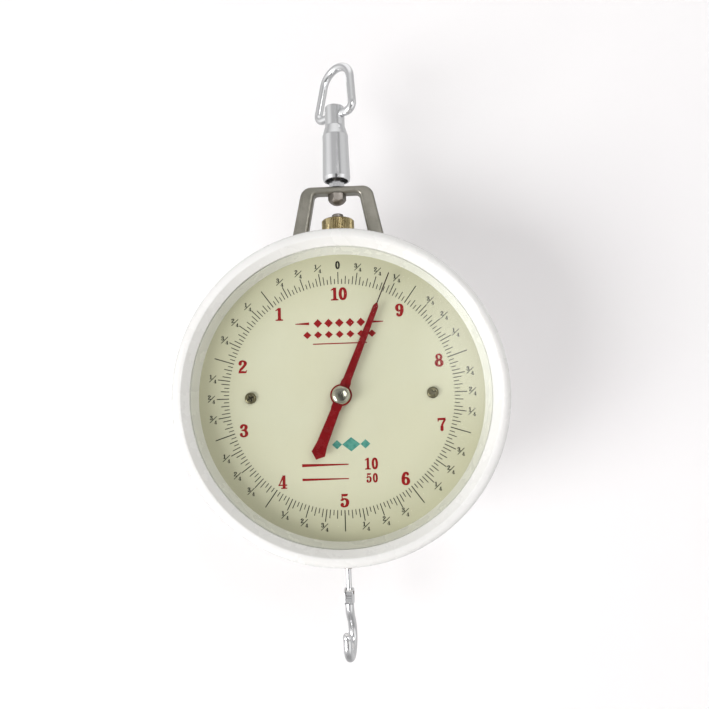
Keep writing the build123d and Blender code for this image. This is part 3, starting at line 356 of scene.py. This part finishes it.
def lens_glass():
    """Clear lens: its outer side mirrors the room faintly, more so at a slant."""
    look = Look("lens_glass")
    clear = look.add("ShaderNodeBsdfTransparent")
    smear = look.spread(look.noise(14, 4), 0.0, 1.0, 0.35, 0.75)
    look.join(look.mix(smear, (0.985, 0.99, 0.975), (0.965, 0.972, 0.955)), clear.inputs["Color"])
    mirror = look.add("ShaderNodeBsdfGlossy")
    look.join(look.spread(look.noise(40, 4), 0.03, 0.10), mirror.inputs["Roughness"])
    look.join(look.bump(look.noise(30, 2), 0.0002, 0.06), mirror.inputs["Normal"])
    fresnel = look.add("ShaderNodeFresnel")
    fresnel.inputs["IOR"].default_value = LENS_IOR
    geometry = look.add("ShaderNodeNewGeometry")
    outside = look.add("ShaderNodeMath", operation="SUBTRACT")
    outside.inputs[0].default_value = 1.0
    look.join(geometry.outputs["Backfacing"], outside.inputs[1])
    both = look.add("ShaderNodeMixShader")
    look.join(look.times(fresnel.outputs["Fac"], outside.outputs[0]), both.inputs["Fac"])
    look.join(clear.outputs["BSDF"], both.inputs[1])
    look.join(mirror.outputs["BSDF"], both.inputs[2])
    look.join(both.outputs["Shader"], look.output.inputs["Surface"])
    look.tree.nodes.remove(look.shader)
    return look.material


materials = {
    "white_enamel": white_enamel(),
    "lens_glass": lens_glass(),
    "gasket_rubber": gasket_rubber(),
    "dial_face": dial_face(),
    "dial_ink_black": ink("dial_ink_black", (0.010, 0.011, 0.007), (0.030, 0.030, 0.020)),
    "dial_ink_red": ink("dial_ink_red", (0.27, 0.004, 0.006), (0.35, 0.010, 0.012)),
    "dial_ink_teal": ink("dial_ink_teal", (0.055, 0.27, 0.235), (0.12, 0.38, 0.32)),
    "pointer_red": pointer_red(),
    "chrome": polished("chrome", (0.80, 0.80, 0.81), 0.05, 0.14),
    "chrome_small": polished("chrome_small", (0.50, 0.48, 0.41), 0.08, 0.2, 0.4),
    "steel": steel("steel", (0.50, 0.49, 0.47), 0.30, 0.5),
    "dull_steel": steel("dull_steel", (0.34, 0.31, 0.28), 0.34, 0.55),
    "dial_screws": screw_heads(),
    "spring_steel": steel("spring_steel", (0.30, 0.29, 0.29), 0.25, 0.4),
    "cast_grey": cast_grey(),
    "brass": brass(),
}
for subpart in frame["record"]["subparts"]:
    node = nodes[subpart["node"]]
    look_name = "dial_screws" if subpart["node"] == "dial_screws" else subpart["material_slot"]
    if not node.material_slots:
        node.data.materials.append(None)
    for place in node.material_slots:
        place.link = "OBJECT"
        place.material = materials[look_name]


# ---------------------------------------------------------------- flat printed shapes
def cross(first, second, third):
    """Twice the signed area of a triangle."""
    return (second[0] - first[0]) * (third[1] - first[1]) - (second[1] - first[1]) * (third[0] - first[0])


def hull(points):
    """Corners of the smallest convex shape round some points, anticlockwise."""
    points = sorted(set(points))

    def chain(some):
        kept = []
        for point in some:
            while len(kept) > 1 and cross(kept[-2], kept[-1], point) <= 0:
                kept.pop()
            kept.append(point)
        return kept[:-1]

    return chain(points) + chain(points[::-1])


def nib(centre, wide, tall, corners=12):
    """Oval pen mark."""
    return [
        (
            centre[0] + wide / 2 * cos(2 * pi * step / corners),
            centre[1] + tall / 2 * sin(2 * pi * step / corners),
        )
        for step in range(corners)
    ]


def smooth(points, steps=5):
    """Curve through points (Catmull-Rom), as more points."""
    padded = [points[0], *points, points[-1]]
    curve = []
    for a, b, c, d in zip(padded, padded[1:], padded[2:], padded[3:]):
        for step in range(steps):
            t = step / steps
            curve.append(
                tuple(
                    0.5
                    * (
                        2 * b[i]
                        + (c[i] - a[i]) * t
                        + (2 * a[i] - 5 * b[i] + 4 * c[i] - d[i]) * t**2
                        + (3 * b[i] - a[i] - 3 * c[i] + d[i]) * t**3
                    )
                    for i in range(2)
                )
            )
    return curve + [points[-1]]


def stroke(path, wide, tall):
    """Convex pieces swept by an oval nib along a path."""
    marks = [nib(point, wide, tall) for point in path]
    return [hull(first + second) for first, second in zip(marks, marks[1:])]


def ring_path(centre, across, up, steps=22):
    """Closed oval path."""
    return [
        (centre[0] + across * cos(2 * pi * step / steps), centre[1] + up * sin(2 * pi * step / steps))
        for step in range(steps + 1)
    ]


def slab(left, right, low, high):
    return [(left, low), (right, low), (right, high), (left, high)]


# Bold numerals one unit tall: thick uprights, thin cross strokes, slab feet and ball ends.
THICK = 0.25
THIN = 0.125


def curved(*points):
    return stroke(smooth(list(points)), THICK, THIN)


def turned(shapes, width):
    """The same shapes turned half way round."""
    return [[(width - x, 1 - y) for x, y in shape] for shape in shapes]


def digit_six():
    tail = curved((0.46, 0.88), (0.36, 0.94), (0.24, 0.84), (0.15, 0.60), (0.14, 0.36))
    return tail + stroke(ring_path((0.34, 0.31), 0.20, 0.255), THICK, THIN) + [nib((0.49, 0.80), 0.21, 0.20)]


DIGITS = {
    "0": (0.66, stroke(ring_path((0.33, 0.5), 0.20, 0.445), THICK, THIN)),
    "1": (
        0.56,
        [
            slab(0.20, 0.44, 0.04, 1.0),
            slab(0.02, 0.60, 0.0, 0.10),
            [(0.02, 0.76), (0.22, 0.82), (0.40, 1.0), (0.28, 1.0), (0.02, 0.84)],
            [(0.12, 0.08), (0.20, 0.08), (0.20, 0.16)],
            [(0.44, 0.08), (0.52, 0.08), (0.44, 0.16)],
        ],
    ),
    "2": (
        0.70,
        curved(
            (0.15, 0.74), (0.20, 0.88), (0.35, 0.94), (0.52, 0.86), (0.55, 0.70), (0.42, 0.50), (0.22, 0.30)
        )
        + [
            nib((0.16, 0.72), 0.25, 0.25),
            [(0.14, 0.36), (0.34, 0.36), (0.22, 0.14), (0.02, 0.0), (0.04, 0.16)],
            [(0.02, 0.0), (0.22, 0.14), (0.30, 0.18), (0.48, 0.0)],
            [(0.30, 0.18), (0.56, 0.14), (0.64, 0.24), (0.69, 0.24), (0.62, 0.0), (0.40, 0.0)],
        ],
    ),
    "3": (
        0.66,
        curved(
            (0.15, 0.78), (0.22, 0.90), (0.34, 0.94), (0.49, 0.86), (0.50, 0.70), (0.42, 0.57), (0.26, 0.54)
        )
        + curved((0.26, 0.54), (0.44, 0.50), (0.54, 0.34), (0.50, 0.14), (0.32, 0.055), (0.16, 0.13))
        + [nib((0.15, 0.76), 0.23, 0.22), nib((0.14, 0.23), 0.24, 0.24)],
    ),
    "4": (
        0.68,
        [
            slab(0.34, 0.56, 0.04, 1.0),
            slab(0.22, 0.68, 0.0, 0.09),
            slab(0.02, 0.68, 0.22, 0.32),
            [(0.02, 0.22), (0.14, 0.30), (0.44, 0.86), (0.44, 1.0), (0.36, 1.0)],
        ],
    ),
    "5": (
        0.66,
        curved(
            (0.13, 0.54), (0.26, 0.63), (0.42, 0.61), (0.53, 0.48), (0.53, 0.26), (0.42, 0.09), (0.27, 0.055)
        )
        + curved((0.27, 0.055), (0.16, 0.10), (0.12, 0.20))
        + [
            nib((0.15, 0.23), 0.25, 0.24),
            slab(0.10, 0.19, 0.50, 1.0),
            [(0.10, 1.0), (0.12, 0.84), (0.34, 0.80), (0.54, 0.84), (0.60, 1.0)],
        ],
    ),
    "6": (0.68, digit_six()),
    "7": (
        0.66,
        [
            [(0.03, 0.72), (0.09, 0.72), (0.12, 0.82), (0.62, 0.82), (0.64, 1.0), (0.10, 0.99), (0.03, 1.0)],
            [(0.50, 0.90), (0.64, 0.96), (0.64, 1.0), (0.50, 0.99)],
            nib((0.33, 0.11), 0.25, 0.23),
        ]
        + stroke(smooth([(0.57, 0.84), (0.46, 0.66), (0.36, 0.46), (0.33, 0.14)]), 0.17, 0.11)
        + stroke([(0.34, 0.36), (0.33, 0.10)], 0.23, 0.12),
    ),
    "8": (
        0.68,
        stroke(ring_path((0.34, 0.745), 0.175, 0.20), 0.19, THIN)
        + stroke(ring_path((0.34, 0.285), 0.215, 0.23), THICK, THIN),
    ),
    "9": (0.68, turned(digit_six(), 0.68)),
}


SAME_POINT = 1e-4


def merged(polygons):
    """The union of overlapping polygons, as points and triangles."""
    points, faces = [], []
    for polygon in polygons:
        if sum(cross((0, 0), a, b) for a, b in zip(polygon, polygon[1:] + polygon[:1])) < 0:
            polygon = polygon[::-1]
        faces.append(list(range(len(points), len(points) + len(polygon))))
        points += [Vector(point) for point in polygon]
    found = delaunay_2d_cdt(points, [], faces, 0, SAME_POINT, True)
    triangles = [tuple(face) for face, sources in zip(found[2], found[5]) if sources]
    return [(point.x, point.y) for point in found[0]], triangles


GLYPHS = {name: (width, *merged(shapes)) for name, (width, shapes) in DIGITS.items()}


def glyph(name, centre, tall, narrow=1.0):
    """A numeral's points and triangles, centred, in millimetres on the dial."""
    width, points, triangles = GLYPHS[name]
    placed = [
        (centre[0] + (x - width / 2) * tall * narrow, centre[1] + (y - 0.5) * tall) for x, y in points
    ]
    return placed, triangles


def fan(polygon):
    """A convex polygon as points and triangles."""
    return list(polygon), [(0, step, step + 1) for step in range(1, len(polygon) - 1)]


# The print's front and back, in millimetres from the dial's face.
PRINT_FRONT = -0.04
PRINT_BACK = 0.02


def print_piece(name, shapes, slot):
    """Thin closed solid for flat shapes printed on the dial's face."""
    mesh = bpy.data.meshes.new(name)
    form = bmesh.new()
    for points, triangles in shapes:
        front = [form.verts.new((x * MM, DIAL_Y + PRINT_FRONT * MM, z * MM)) for x, z in points]
        back = [form.verts.new((x * MM, DIAL_Y + PRINT_BACK * MM, z * MM)) for x, z in points]
        outline = {}
        for triangle in triangles:
            if cross(*(points[corner] for corner in triangle)) < 0:
                triangle = triangle[::-1]
            form.faces.new([front[corner] for corner in triangle])
            form.faces.new([back[corner] for corner in reversed(triangle)])
            for start, end in zip(triangle, triangle[1:] + triangle[:1]):
                if (end, start) in outline:
                    del outline[(end, start)]
                else:
                    outline[(start, end)] = True
        for start, end in outline:
            form.faces.new([front[end], front[start], back[start], back[end]])
    loose = [vert for vert in form.verts if not vert.link_faces]
    bmesh.ops.delete(form, geom=loose, context="VERTS")
    form.to_mesh(mesh)
    form.free()
    piece = bpy.data.objects.new(name, mesh)
    bpy.context.scene.collection.objects.link(piece)
    mesh.materials.append(materials[slot])
    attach(piece, "case")


# ---------------------------------------------------------------- dial print
TICK_INNER = 68.6
TICK_COUNT = 200
TICKS_PER_NUMBER = 20
TICKS_PER_QUARTER = 5
NUMBER_COUNT = 10
NUMBER_TALL = 8.0
NUMBER_RADIUS = 63.0
QUARTER_RADIUS = 79.4
ZERO_RADIUS = 80.4
ZERO_TALL = 5.0

# Outer radius of each kind of graduation, as a multiple of the inner one, and its width.
NUMBER_TICK = (1.182, 0.60)
QUARTER_TICK = (1.109, 0.54)
EVEN_TICK = (1.074, 0.50)
ODD_TICK = (1.046, 0.48)


def on_dial(radius, share):
    """Point on the dial; the scale runs anticlockwise from the top."""
    angle = 2 * pi * share
    return (-radius * sin(angle), radius * cos(angle))


def tick(index):
    """One graduation as a thin bar, longer and wider at each larger division."""
    if index > 0 and index % TICKS_PER_NUMBER == 0:
        reach, wide = NUMBER_TICK
    elif index % TICKS_PER_QUARTER == 0:
        reach, wide = QUARTER_TICK
    elif index % 2 == 0:
        reach, wide = EVEN_TICK
    else:
        reach, wide = ODD_TICK
    angle = 2 * pi * index / TICK_COUNT
    across = (cos(angle) * wide / 2, sin(angle) * wide / 2)
    near = on_dial(TICK_INNER, index / TICK_COUNT)
    far = on_dial(TICK_INNER * reach, index / TICK_COUNT)
    return fan(
        [
            (near[0] + across[0], near[1] + across[1]),
            (far[0] + across[0], far[1] + across[1]),
            (far[0] - across[0], far[1] - across[1]),
            (near[0] - across[0], near[1] - across[1]),
        ]
    )


SLASH_WIDE = 0.44
SLASH_CORNERS = 8
COUNT_TALL = 2.7
FOUR_TALL = 2.3


def quarter(share, count):
    """Small slanted fraction, with 1, 2 or 3 over 4."""
    x, z = on_dial(QUARTER_RADIUS, share)
    foot = nib((x - 2.0, z - 1.6), SLASH_WIDE, SLASH_WIDE, SLASH_CORNERS)
    head = nib((x + 2.0, z + 2.1), SLASH_WIDE, SLASH_WIDE, SLASH_CORNERS)
    return [
        glyph(str(count), (x - 1.25, z + 1.35), COUNT_TALL, 1.05),
        fan(hull(foot + head)),
        glyph("4", (x + 1.35, z - 1.45), FOUR_TALL, 1.15),
    ]


def number(value):
    """Red numeral, upright, beside its long tick."""
    centre = on_dial(NUMBER_RADIUS, value / NUMBER_COUNT)
    if value < NUMBER_COUNT:
        return [glyph(str(value), centre, NUMBER_TALL)]
    return [
        glyph("1", (centre[0] - 2.6, centre[1] - 0.6), NUMBER_TALL),
        glyph("0", (centre[0] + 2.7, centre[1] - 0.6), NUMBER_TALL),
    ]


print_piece("print_ticks", [tick(index) for index in range(TICK_COUNT)], "dial_ink_black")
quarters = []
for kilogram in range(NUMBER_COUNT):
    for count in (1, 2, 3):
        quarters += quarter((kilogram + count / 4) / NUMBER_COUNT, count)
print_piece("print_quarters", quarters, "dial_ink_black")
print_piece("print_zero", [glyph("0", (0, ZERO_RADIUS), ZERO_TALL, 0.9)], "dial_ink_black")
numbers = []
for value in range(1, NUMBER_COUNT + 1):
    numbers += number(value)
print_piece("print_numbers", numbers, "dial_ink_red")


def lozenge(centre, wide, tall):
    x, z = centre
    return fan([(x - wide / 2, z), (x, z - tall / 2), (x + wide / 2, z), (x, z + tall / 2)])


def rule(left, right, height, thick, end):
    """Printed line, thick at one end and fine at the other."""
    return fan(
        [
            (left, height - thick / 2),
            (right, height - end / 2),
            (right, height + end / 2),
            (left, height + thick / 2),
        ]
    )


# Plain ornaments and two numbers fill the middle of the dial, at these heights.
UPPER_ROW = 44.5
LOWER_ROW = 37.4
FINE_RULE = 31.8
TEAL_ROW = -29.6
TEN_LINE = -41.5
FIFTY_LINE = -50.0
LOZENGE_PITCH = 6.6
TEN_TALL = 7.0
FIFTY_TALL = 5.6
SLIM = 0.85
red_marks = [
    rule(-18.5, -27.0, UPPER_ROW, 1.7, 0.5),
    rule(18.5, 27.0, UPPER_ROW, 1.7, 0.5),
    rule(-16.5, 16.5, FINE_RULE, 0.7, 0.7),
    rule(-25.0, 3.0, TEN_LINE, 1.8, 0.7),
    rule(-25.0, 3.0, FIFTY_LINE, 1.5, 0.6),
    glyph("1", (14.4, TEN_LINE), TEN_TALL, SLIM),
    glyph("0", (18.8, TEN_LINE), TEN_TALL, SLIM),
    glyph("5", (15.0, FIFTY_LINE), FIFTY_TALL, SLIM),
    glyph("0", (18.8, FIFTY_LINE), FIFTY_TALL, SLIM),
]
for place in range(-2, 3):
    red_marks.append(lozenge((LOZENGE_PITCH * place, UPPER_ROW), 5.4, 5.4))
for place in range(-3, 4):
    red_marks.append(lozenge((LOZENGE_PITCH * place, LOWER_ROW), 5.0, 4.6))
print_piece("print_red_marks", red_marks, "dial_ink_red")
teal_marks = [
    lozenge((5.0, TEAL_ROW), 11.0, 8.6),
    lozenge((-3.6, TEAL_ROW), 6.0, 5.6),
    lozenge((13.6, TEAL_ROW), 6.0, 5.6),
]
print_piece("print_teal_marks", teal_marks, "dial_ink_teal")


# ---------------------------------------------------------------- springs
def tube(name, path, radius, sides=10):
    """Round wire swept along a path of points, closed at both ends."""
    form = bmesh.new()
    rings = []
    up = Vector((0, 1, 0))
    for index, point in enumerate(path):
        ahead = path[min(index + 1, len(path) - 1)] - path[max(index - 1, 0)]
        ahead.normalize()
        side = up.cross(ahead).normalized()
        up = ahead.cross(side).normalized()
        rings.append(
            [
                form.verts.new(
                    point
                    + side * radius * cos(2 * pi * step / sides)
                    + up * radius * sin(2 * pi * step / sides)
                )
                for step in range(sides)
            ]
        )
    for first, second in zip(rings, rings[1:]):
        for step in range(sides):
            after = (step + 1) % sides
            face = form.faces.new([first[step], first[after], second[after], second[step]])
            face.smooth = True
    form.faces.new(rings[0][::-1])
    form.faces.new(rings[-1])
    mesh = bpy.data.meshes.new(name)
    bmesh.ops.recalc_face_normals(form, faces=form.faces)
    form.to_mesh(mesh)
    form.free()
    piece = bpy.data.objects.new(name, mesh)
    bpy.context.scene.collection.objects.link(piece)
    return piece


COIL_TURNS = 24
UPPER_TURNS = 5
COIL_STEPS = 20
LOOP_STEPS = 20
LEAD_STEPS = 6
COIL_RADIUS = 7.0 * MM
WIRE_RADIUS = 1.0 * MM
LOOP_RADIUS = 5.0 * MM
LOOP_SHARE = 0.9


def end_loop(centre_x, depth, height, side):
    """Loop across the bar, above the coil for side 1 and below it for side -1."""
    points = []
    for step in range(LOOP_STEPS + 1):
        turn = 2 * pi * LOOP_SHARE * step / LOOP_STEPS
        across = depth - LOOP_RADIUS * sin(turn)
        along = height + side * LOOP_RADIUS * (1 - cos(turn))
        points.append(Vector((centre_x, across, along)))
    return points


def lead(centre_x, depth, height, side):
    """Short run from the axis, where the loop ends, out to the coil."""
    points = []
    for step in range(1, LEAD_STEPS):
        share = step / LEAD_STEPS
        points.append(
            Vector((centre_x + COIL_RADIUS * share, depth, height - side * WIRE_RADIUS * share / 2))
        )
    return points


def spring_wire(node, name, path):
    """One length of a spring's wire, in place of the CAD spring, which is hidden."""
    piece = tube(node + name, path, WIRE_RADIUS)
    piece.data.materials.append(materials["spring_steel"])
    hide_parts(node)
    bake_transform(piece)


def spring(node):
    """Wound wire with a round loop at each end, in two pieces: its top turns and the rest."""
    low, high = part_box(node)
    centre_x = (low.x + high.x) / 2
    depth = (low.y + high.y) / 2
    bottom = low.z + WIRE_RADIUS + 2 * LOOP_RADIUS
    top = high.z - WIRE_RADIUS - 2 * LOOP_RADIUS
    coil_low = bottom + WIRE_RADIUS
    coil_high = top - WIRE_RADIUS
    count = COIL_TURNS * COIL_STEPS
    coil = []
    for step in range(count + 1):
        turn = 2 * pi * step / COIL_STEPS
        across = centre_x + COIL_RADIUS * cos(turn)
        back = depth + COIL_RADIUS * sin(turn)
        coil.append(Vector((across, back, coil_low + (coil_high - coil_low) * step / count)))
    parting = (COIL_TURNS - UPPER_TURNS) * COIL_STEPS + COIL_STEPS // 4
    lower = end_loop(centre_x, depth, bottom, -1)[::-1] + lead(centre_x, depth, bottom, -1)
    lower += coil[: parting + 1]
    upper = coil[parting:] + lead(centre_x, depth, top, 1)[::-1]
    upper += end_loop(centre_x, depth, top, 1)
    spring_wire(node, "_wound", lower)
    spring_wire(node, "_upper_turns", upper)


spring("spring_left")
spring("spring_right")

# ---------------------------------------------------------------- stage
# The wall stands far enough behind the case for the hook to swing back.
WALL_GAP = 0.032
FLOOR_DROP = 1.3
SHEET_REACH = 4.0
box_low, box_high = cad_box


def stage_sheet(name, corners, material):
    mesh = bpy.data.meshes.new(name)
    mesh.from_pydata(corners, [], [tuple(range(len(corners)))])
    mesh.materials.append(material)
    sheet = bpy.data.objects.new(name, mesh)
    bpy.context.scene.collection.objects.link(sheet)
    sheet.visible_glossy = False


def pale(name, seen_from_front_only):
    """Matt near-white. The wall is seen by the camera only, from the front, and lights nothing."""
    look = Look(name)
    look.colour(look.mix(look.spread(look.noise(3, 3), 0, 1), (0.95, 0.935, 0.94), (0.97, 0.96, 0.96)))
    look.set(Roughness=0.9, Specular_IOR_Level=0.1)
    look.normal(look.bump(look.noise(120, 3), 0.0004, 0.1))
    if seen_from_front_only:
        path = look.add("ShaderNodeLightPath")
        geometry = look.add("ShaderNodeNewGeometry")
        front = look.add("ShaderNodeMath", operation="SUBTRACT")
        front.inputs[0].default_value = 1.0
        look.join(geometry.outputs["Backfacing"], front.inputs[1])
        shown = look.times(path.outputs["Is Camera Ray"], front.outputs[0])
        clear = look.add("ShaderNodeBsdfTransparent")
        both = look.add("ShaderNodeMixShader")
        look.join(shown, both.inputs["Fac"])
        look.join(clear.outputs["BSDF"], both.inputs[1])
        look.join(look.shader.outputs["BSDF"], both.inputs[2])
        look.join(both.outputs["Shader"], look.output.inputs["Surface"])
    return look.material


def level_corners(low, high):
    """Corners of a rectangle in x and one other direction, out to the sheets' reach."""
    return [(-SHEET_REACH, low), (SHEET_REACH, low), (SHEET_REACH, high), (-SHEET_REACH, high)]


wall_y = box_high.y + WALL_GAP
floor_z = box_low.z - FLOOR_DROP
stage_sheet(
    "stage_wall",
    [(x, wall_y, z) for x, z in level_corners(floor_z, SHEET_REACH)],
    pale("stage_wall_paint", True),
)
stage_sheet(
    "stage_floor",
    [(x, y, floor_z) for x, y in level_corners(-SHEET_REACH, SHEET_REACH)],
    pale("stage_floor_paint", False),
)


def soft_light(name, direction, distance, size, power, mirrored):
    """Large round lamp aimed at the dial from a direction given as a vector towards the lamp."""
    data = bpy.data.lights.new(name, "AREA")
    data.shape = "DISK"
    data.size = size
    data.energy = power
    lamp = bpy.data.objects.new(name, data)
    away = Vector(direction).normalized()
    lamp.location = away * distance + Vector((0, DIAL_Y, 0))
    lamp.rotation_mode = "QUATERNION"
    lamp.rotation_quaternion = away.to_track_quat("Z", "Y")
    lamp.visible_camera = False
    lamp.visible_glossy = mirrored
    bpy.context.scene.collection.objects.link(lamp)


soft_light("key", (-0.72, -0.57, -0.40), distance=2.8, size=1.9, power=68.0, mirrored=True)
soft_light("fill", (0.40, -0.75, 0.53), distance=2.4, size=1.7, power=15.0, mirrored=False)
soft_light("back", (-0.3, 0.85, 0.6), distance=1.4, size=1.0, power=6.0, mirrored=False)

# What mirrors see, apart from the lamps: an even level and soft round patches, each with its
# direction, the angles in degrees at which it is full and gone, and the brightness it adds.
MIRRORED_LEVEL = 0.50
MIRRORED_LEAST = 0.03
MIRRORED_PATCHES = (
    ((0.30, -1.0, 0.15), 8.5, 13.5, 5.0),
    ((-0.03, -1.0, 0.02), 5, 14, -0.38),
    ((-1.0, -0.4, -0.1), 10, 50, 0.45),
    ((0.9, -0.3, 0.2), 8, 40, 0.2),
    ((0.55, -0.85, 0.36), 3, 14, -0.12),
    ((0.1, -1.0, -0.36), 5, 18, -0.42),
    ((0.8, -0.6, -0.4), 14, 34, 0.5),
    ((-0.8, -0.6, -0.4), 14, 34, 0.4),
    ((0.0, 0.2, -1.0), 20, 50, -0.2),
    ((0.0, -0.1, 1.0), 15, 45, 0.6),
    ((0.0, 1.0, 0.0), 60, 92, 0.1),
)
# What lights matt surfaces: an even level, and more from behind the scale.
LIT_LEVEL = 0.44
LIT_FROM_BEHIND = ((0, 1, 0), 60, 95, 0.5)


def studio_world():
    """Pale surroundings, seen differently by mirrors, by matt surfaces and by the camera."""
    world = bpy.data.worlds.new("studio")
    world.use_nodes = True
    world.cycles.sampling_method = "NONE"
    bpy.context.scene.world = world
    tree = world.node_tree
    tree.nodes.clear()

    def add(kind, **settings):
        node = tree.nodes.new(kind)
        for key, value in settings.items():
            setattr(node, key, value)
        return node

    def math(operation, first, second):
        node = add("ShaderNodeMath", operation=operation)
        for socket, value in ((node.inputs[0], first), (node.inputs[1], second)):
            if isinstance(value, bpy.types.NodeSocket):
                tree.links.new(value, socket)
            else:
                socket.default_value = value
        return node.outputs[0]

    direction = add("ShaderNodeTexCoord").outputs["Generated"]

    def patch(towards, inner, outer, amount):
        """Soft round patch of the surroundings, by its angular radii in degrees."""
        dot = add("ShaderNodeVectorMath", operation="DOT_PRODUCT")
        tree.links.new(direction, dot.inputs[0])
        dot.inputs[1].default_value = Vector(towards).normalized()
        fade = add("ShaderNodeMapRange", interpolation_type="SMOOTHSTEP")
        fade.inputs["From Min"].default_value = cos(radians(outer))
        fade.inputs["From Max"].default_value = cos(radians(inner))
        fade.inputs["To Min"].default_value = 0.0
        fade.inputs["To Max"].default_value = amount
        tree.links.new(dot.outputs["Value"], fade.inputs["Value"])
        return fade.outputs["Result"]

    level = MIRRORED_LEVEL
    for towards, inner, outer, amount in MIRRORED_PATCHES:
        level = math("ADD", level, patch(towards, inner, outer, amount))
    mirrored = add("ShaderNodeBackground")
    mirrored.inputs["Color"].default_value = (1.0, 1.0, 1.0, 1.0)
    tree.links.new(math("MAXIMUM", level, MIRRORED_LEAST), mirrored.inputs["Strength"])
    even = add("ShaderNodeBackground")
    even.inputs["Color"].default_value = (1.0, 0.985, 0.985, 1.0)
    tree.links.new(math("ADD", patch(*LIT_FROM_BEHIND), LIT_LEVEL), even.inputs["Strength"])
    seen = add("ShaderNodeBackground")
    seen.inputs["Color"].default_value = (0.97, 0.965, 0.965, 1.0)
    path = add("ShaderNodeLightPath")
    first = add("ShaderNodeMixShader")
    tree.links.new(path.outputs["Is Glossy Ray"], first.inputs["Fac"])
    tree.links.new(even.outputs["Background"], first.inputs[1])
    tree.links.new(mirrored.outputs["Background"], first.inputs[2])
    second = add("ShaderNodeMixShader")
    tree.links.new(path.outputs["Is Camera Ray"], second.inputs["Fac"])
    tree.links.new(first.outputs["Shader"], second.inputs[1])
    tree.links.new(seen.outputs["Background"], second.inputs[2])
    output = add("ShaderNodeOutputWorld")
    tree.links.new(second.outputs["Shader"], output.inputs["Surface"])


studio_world()
bpy.context.scene.view_settings.view_transform = "Standard"

# ---------------------------------------------------------------- camera
# The scale is seen from a little to its right and below the dial's centre, and hangs slightly askew.
CAMERA_PLACE = Vector((0.019, DIAL_Y - 0.4305, -0.015))
YAW = radians(1.37)
PITCH = radians(5.26)
ROLL = radians(1.85)
SENSOR_WIDTH = 36
FOCAL_LENGTH = 36
NEAREST_SEEN = 0.01
ahead = Vector((-sin(YAW) * cos(PITCH), cos(YAW) * cos(PITCH), sin(PITCH)))
level_right = Vector((cos(YAW), sin(YAW), 0))
level_up = level_right.cross(ahead)
right = cos(ROLL) * level_right - sin(ROLL) * level_up
up = sin(ROLL) * level_right + cos(ROLL) * level_up
lens_data = bpy.data.cameras.new("camera")
lens_data.sensor_width = SENSOR_WIDTH
lens_data.lens = FOCAL_LENGTH
lens_data.clip_start = NEAREST_SEEN
camera = bpy.data.objects.new("camera", lens_data)
camera.matrix_world = Matrix(
    (
        (right.x, up.x, -ahead.x, CAMERA_PLACE.x),
        (right.y, up.y, -ahead.y, CAMERA_PLACE.y),
        (right.z, up.z, -ahead.z, CAMERA_PLACE.z),
        (0, 0, 0, 1),
    )
)
bpy.context.scene.collection.objects.link(camera)
bpy.context.scene.camera = camera
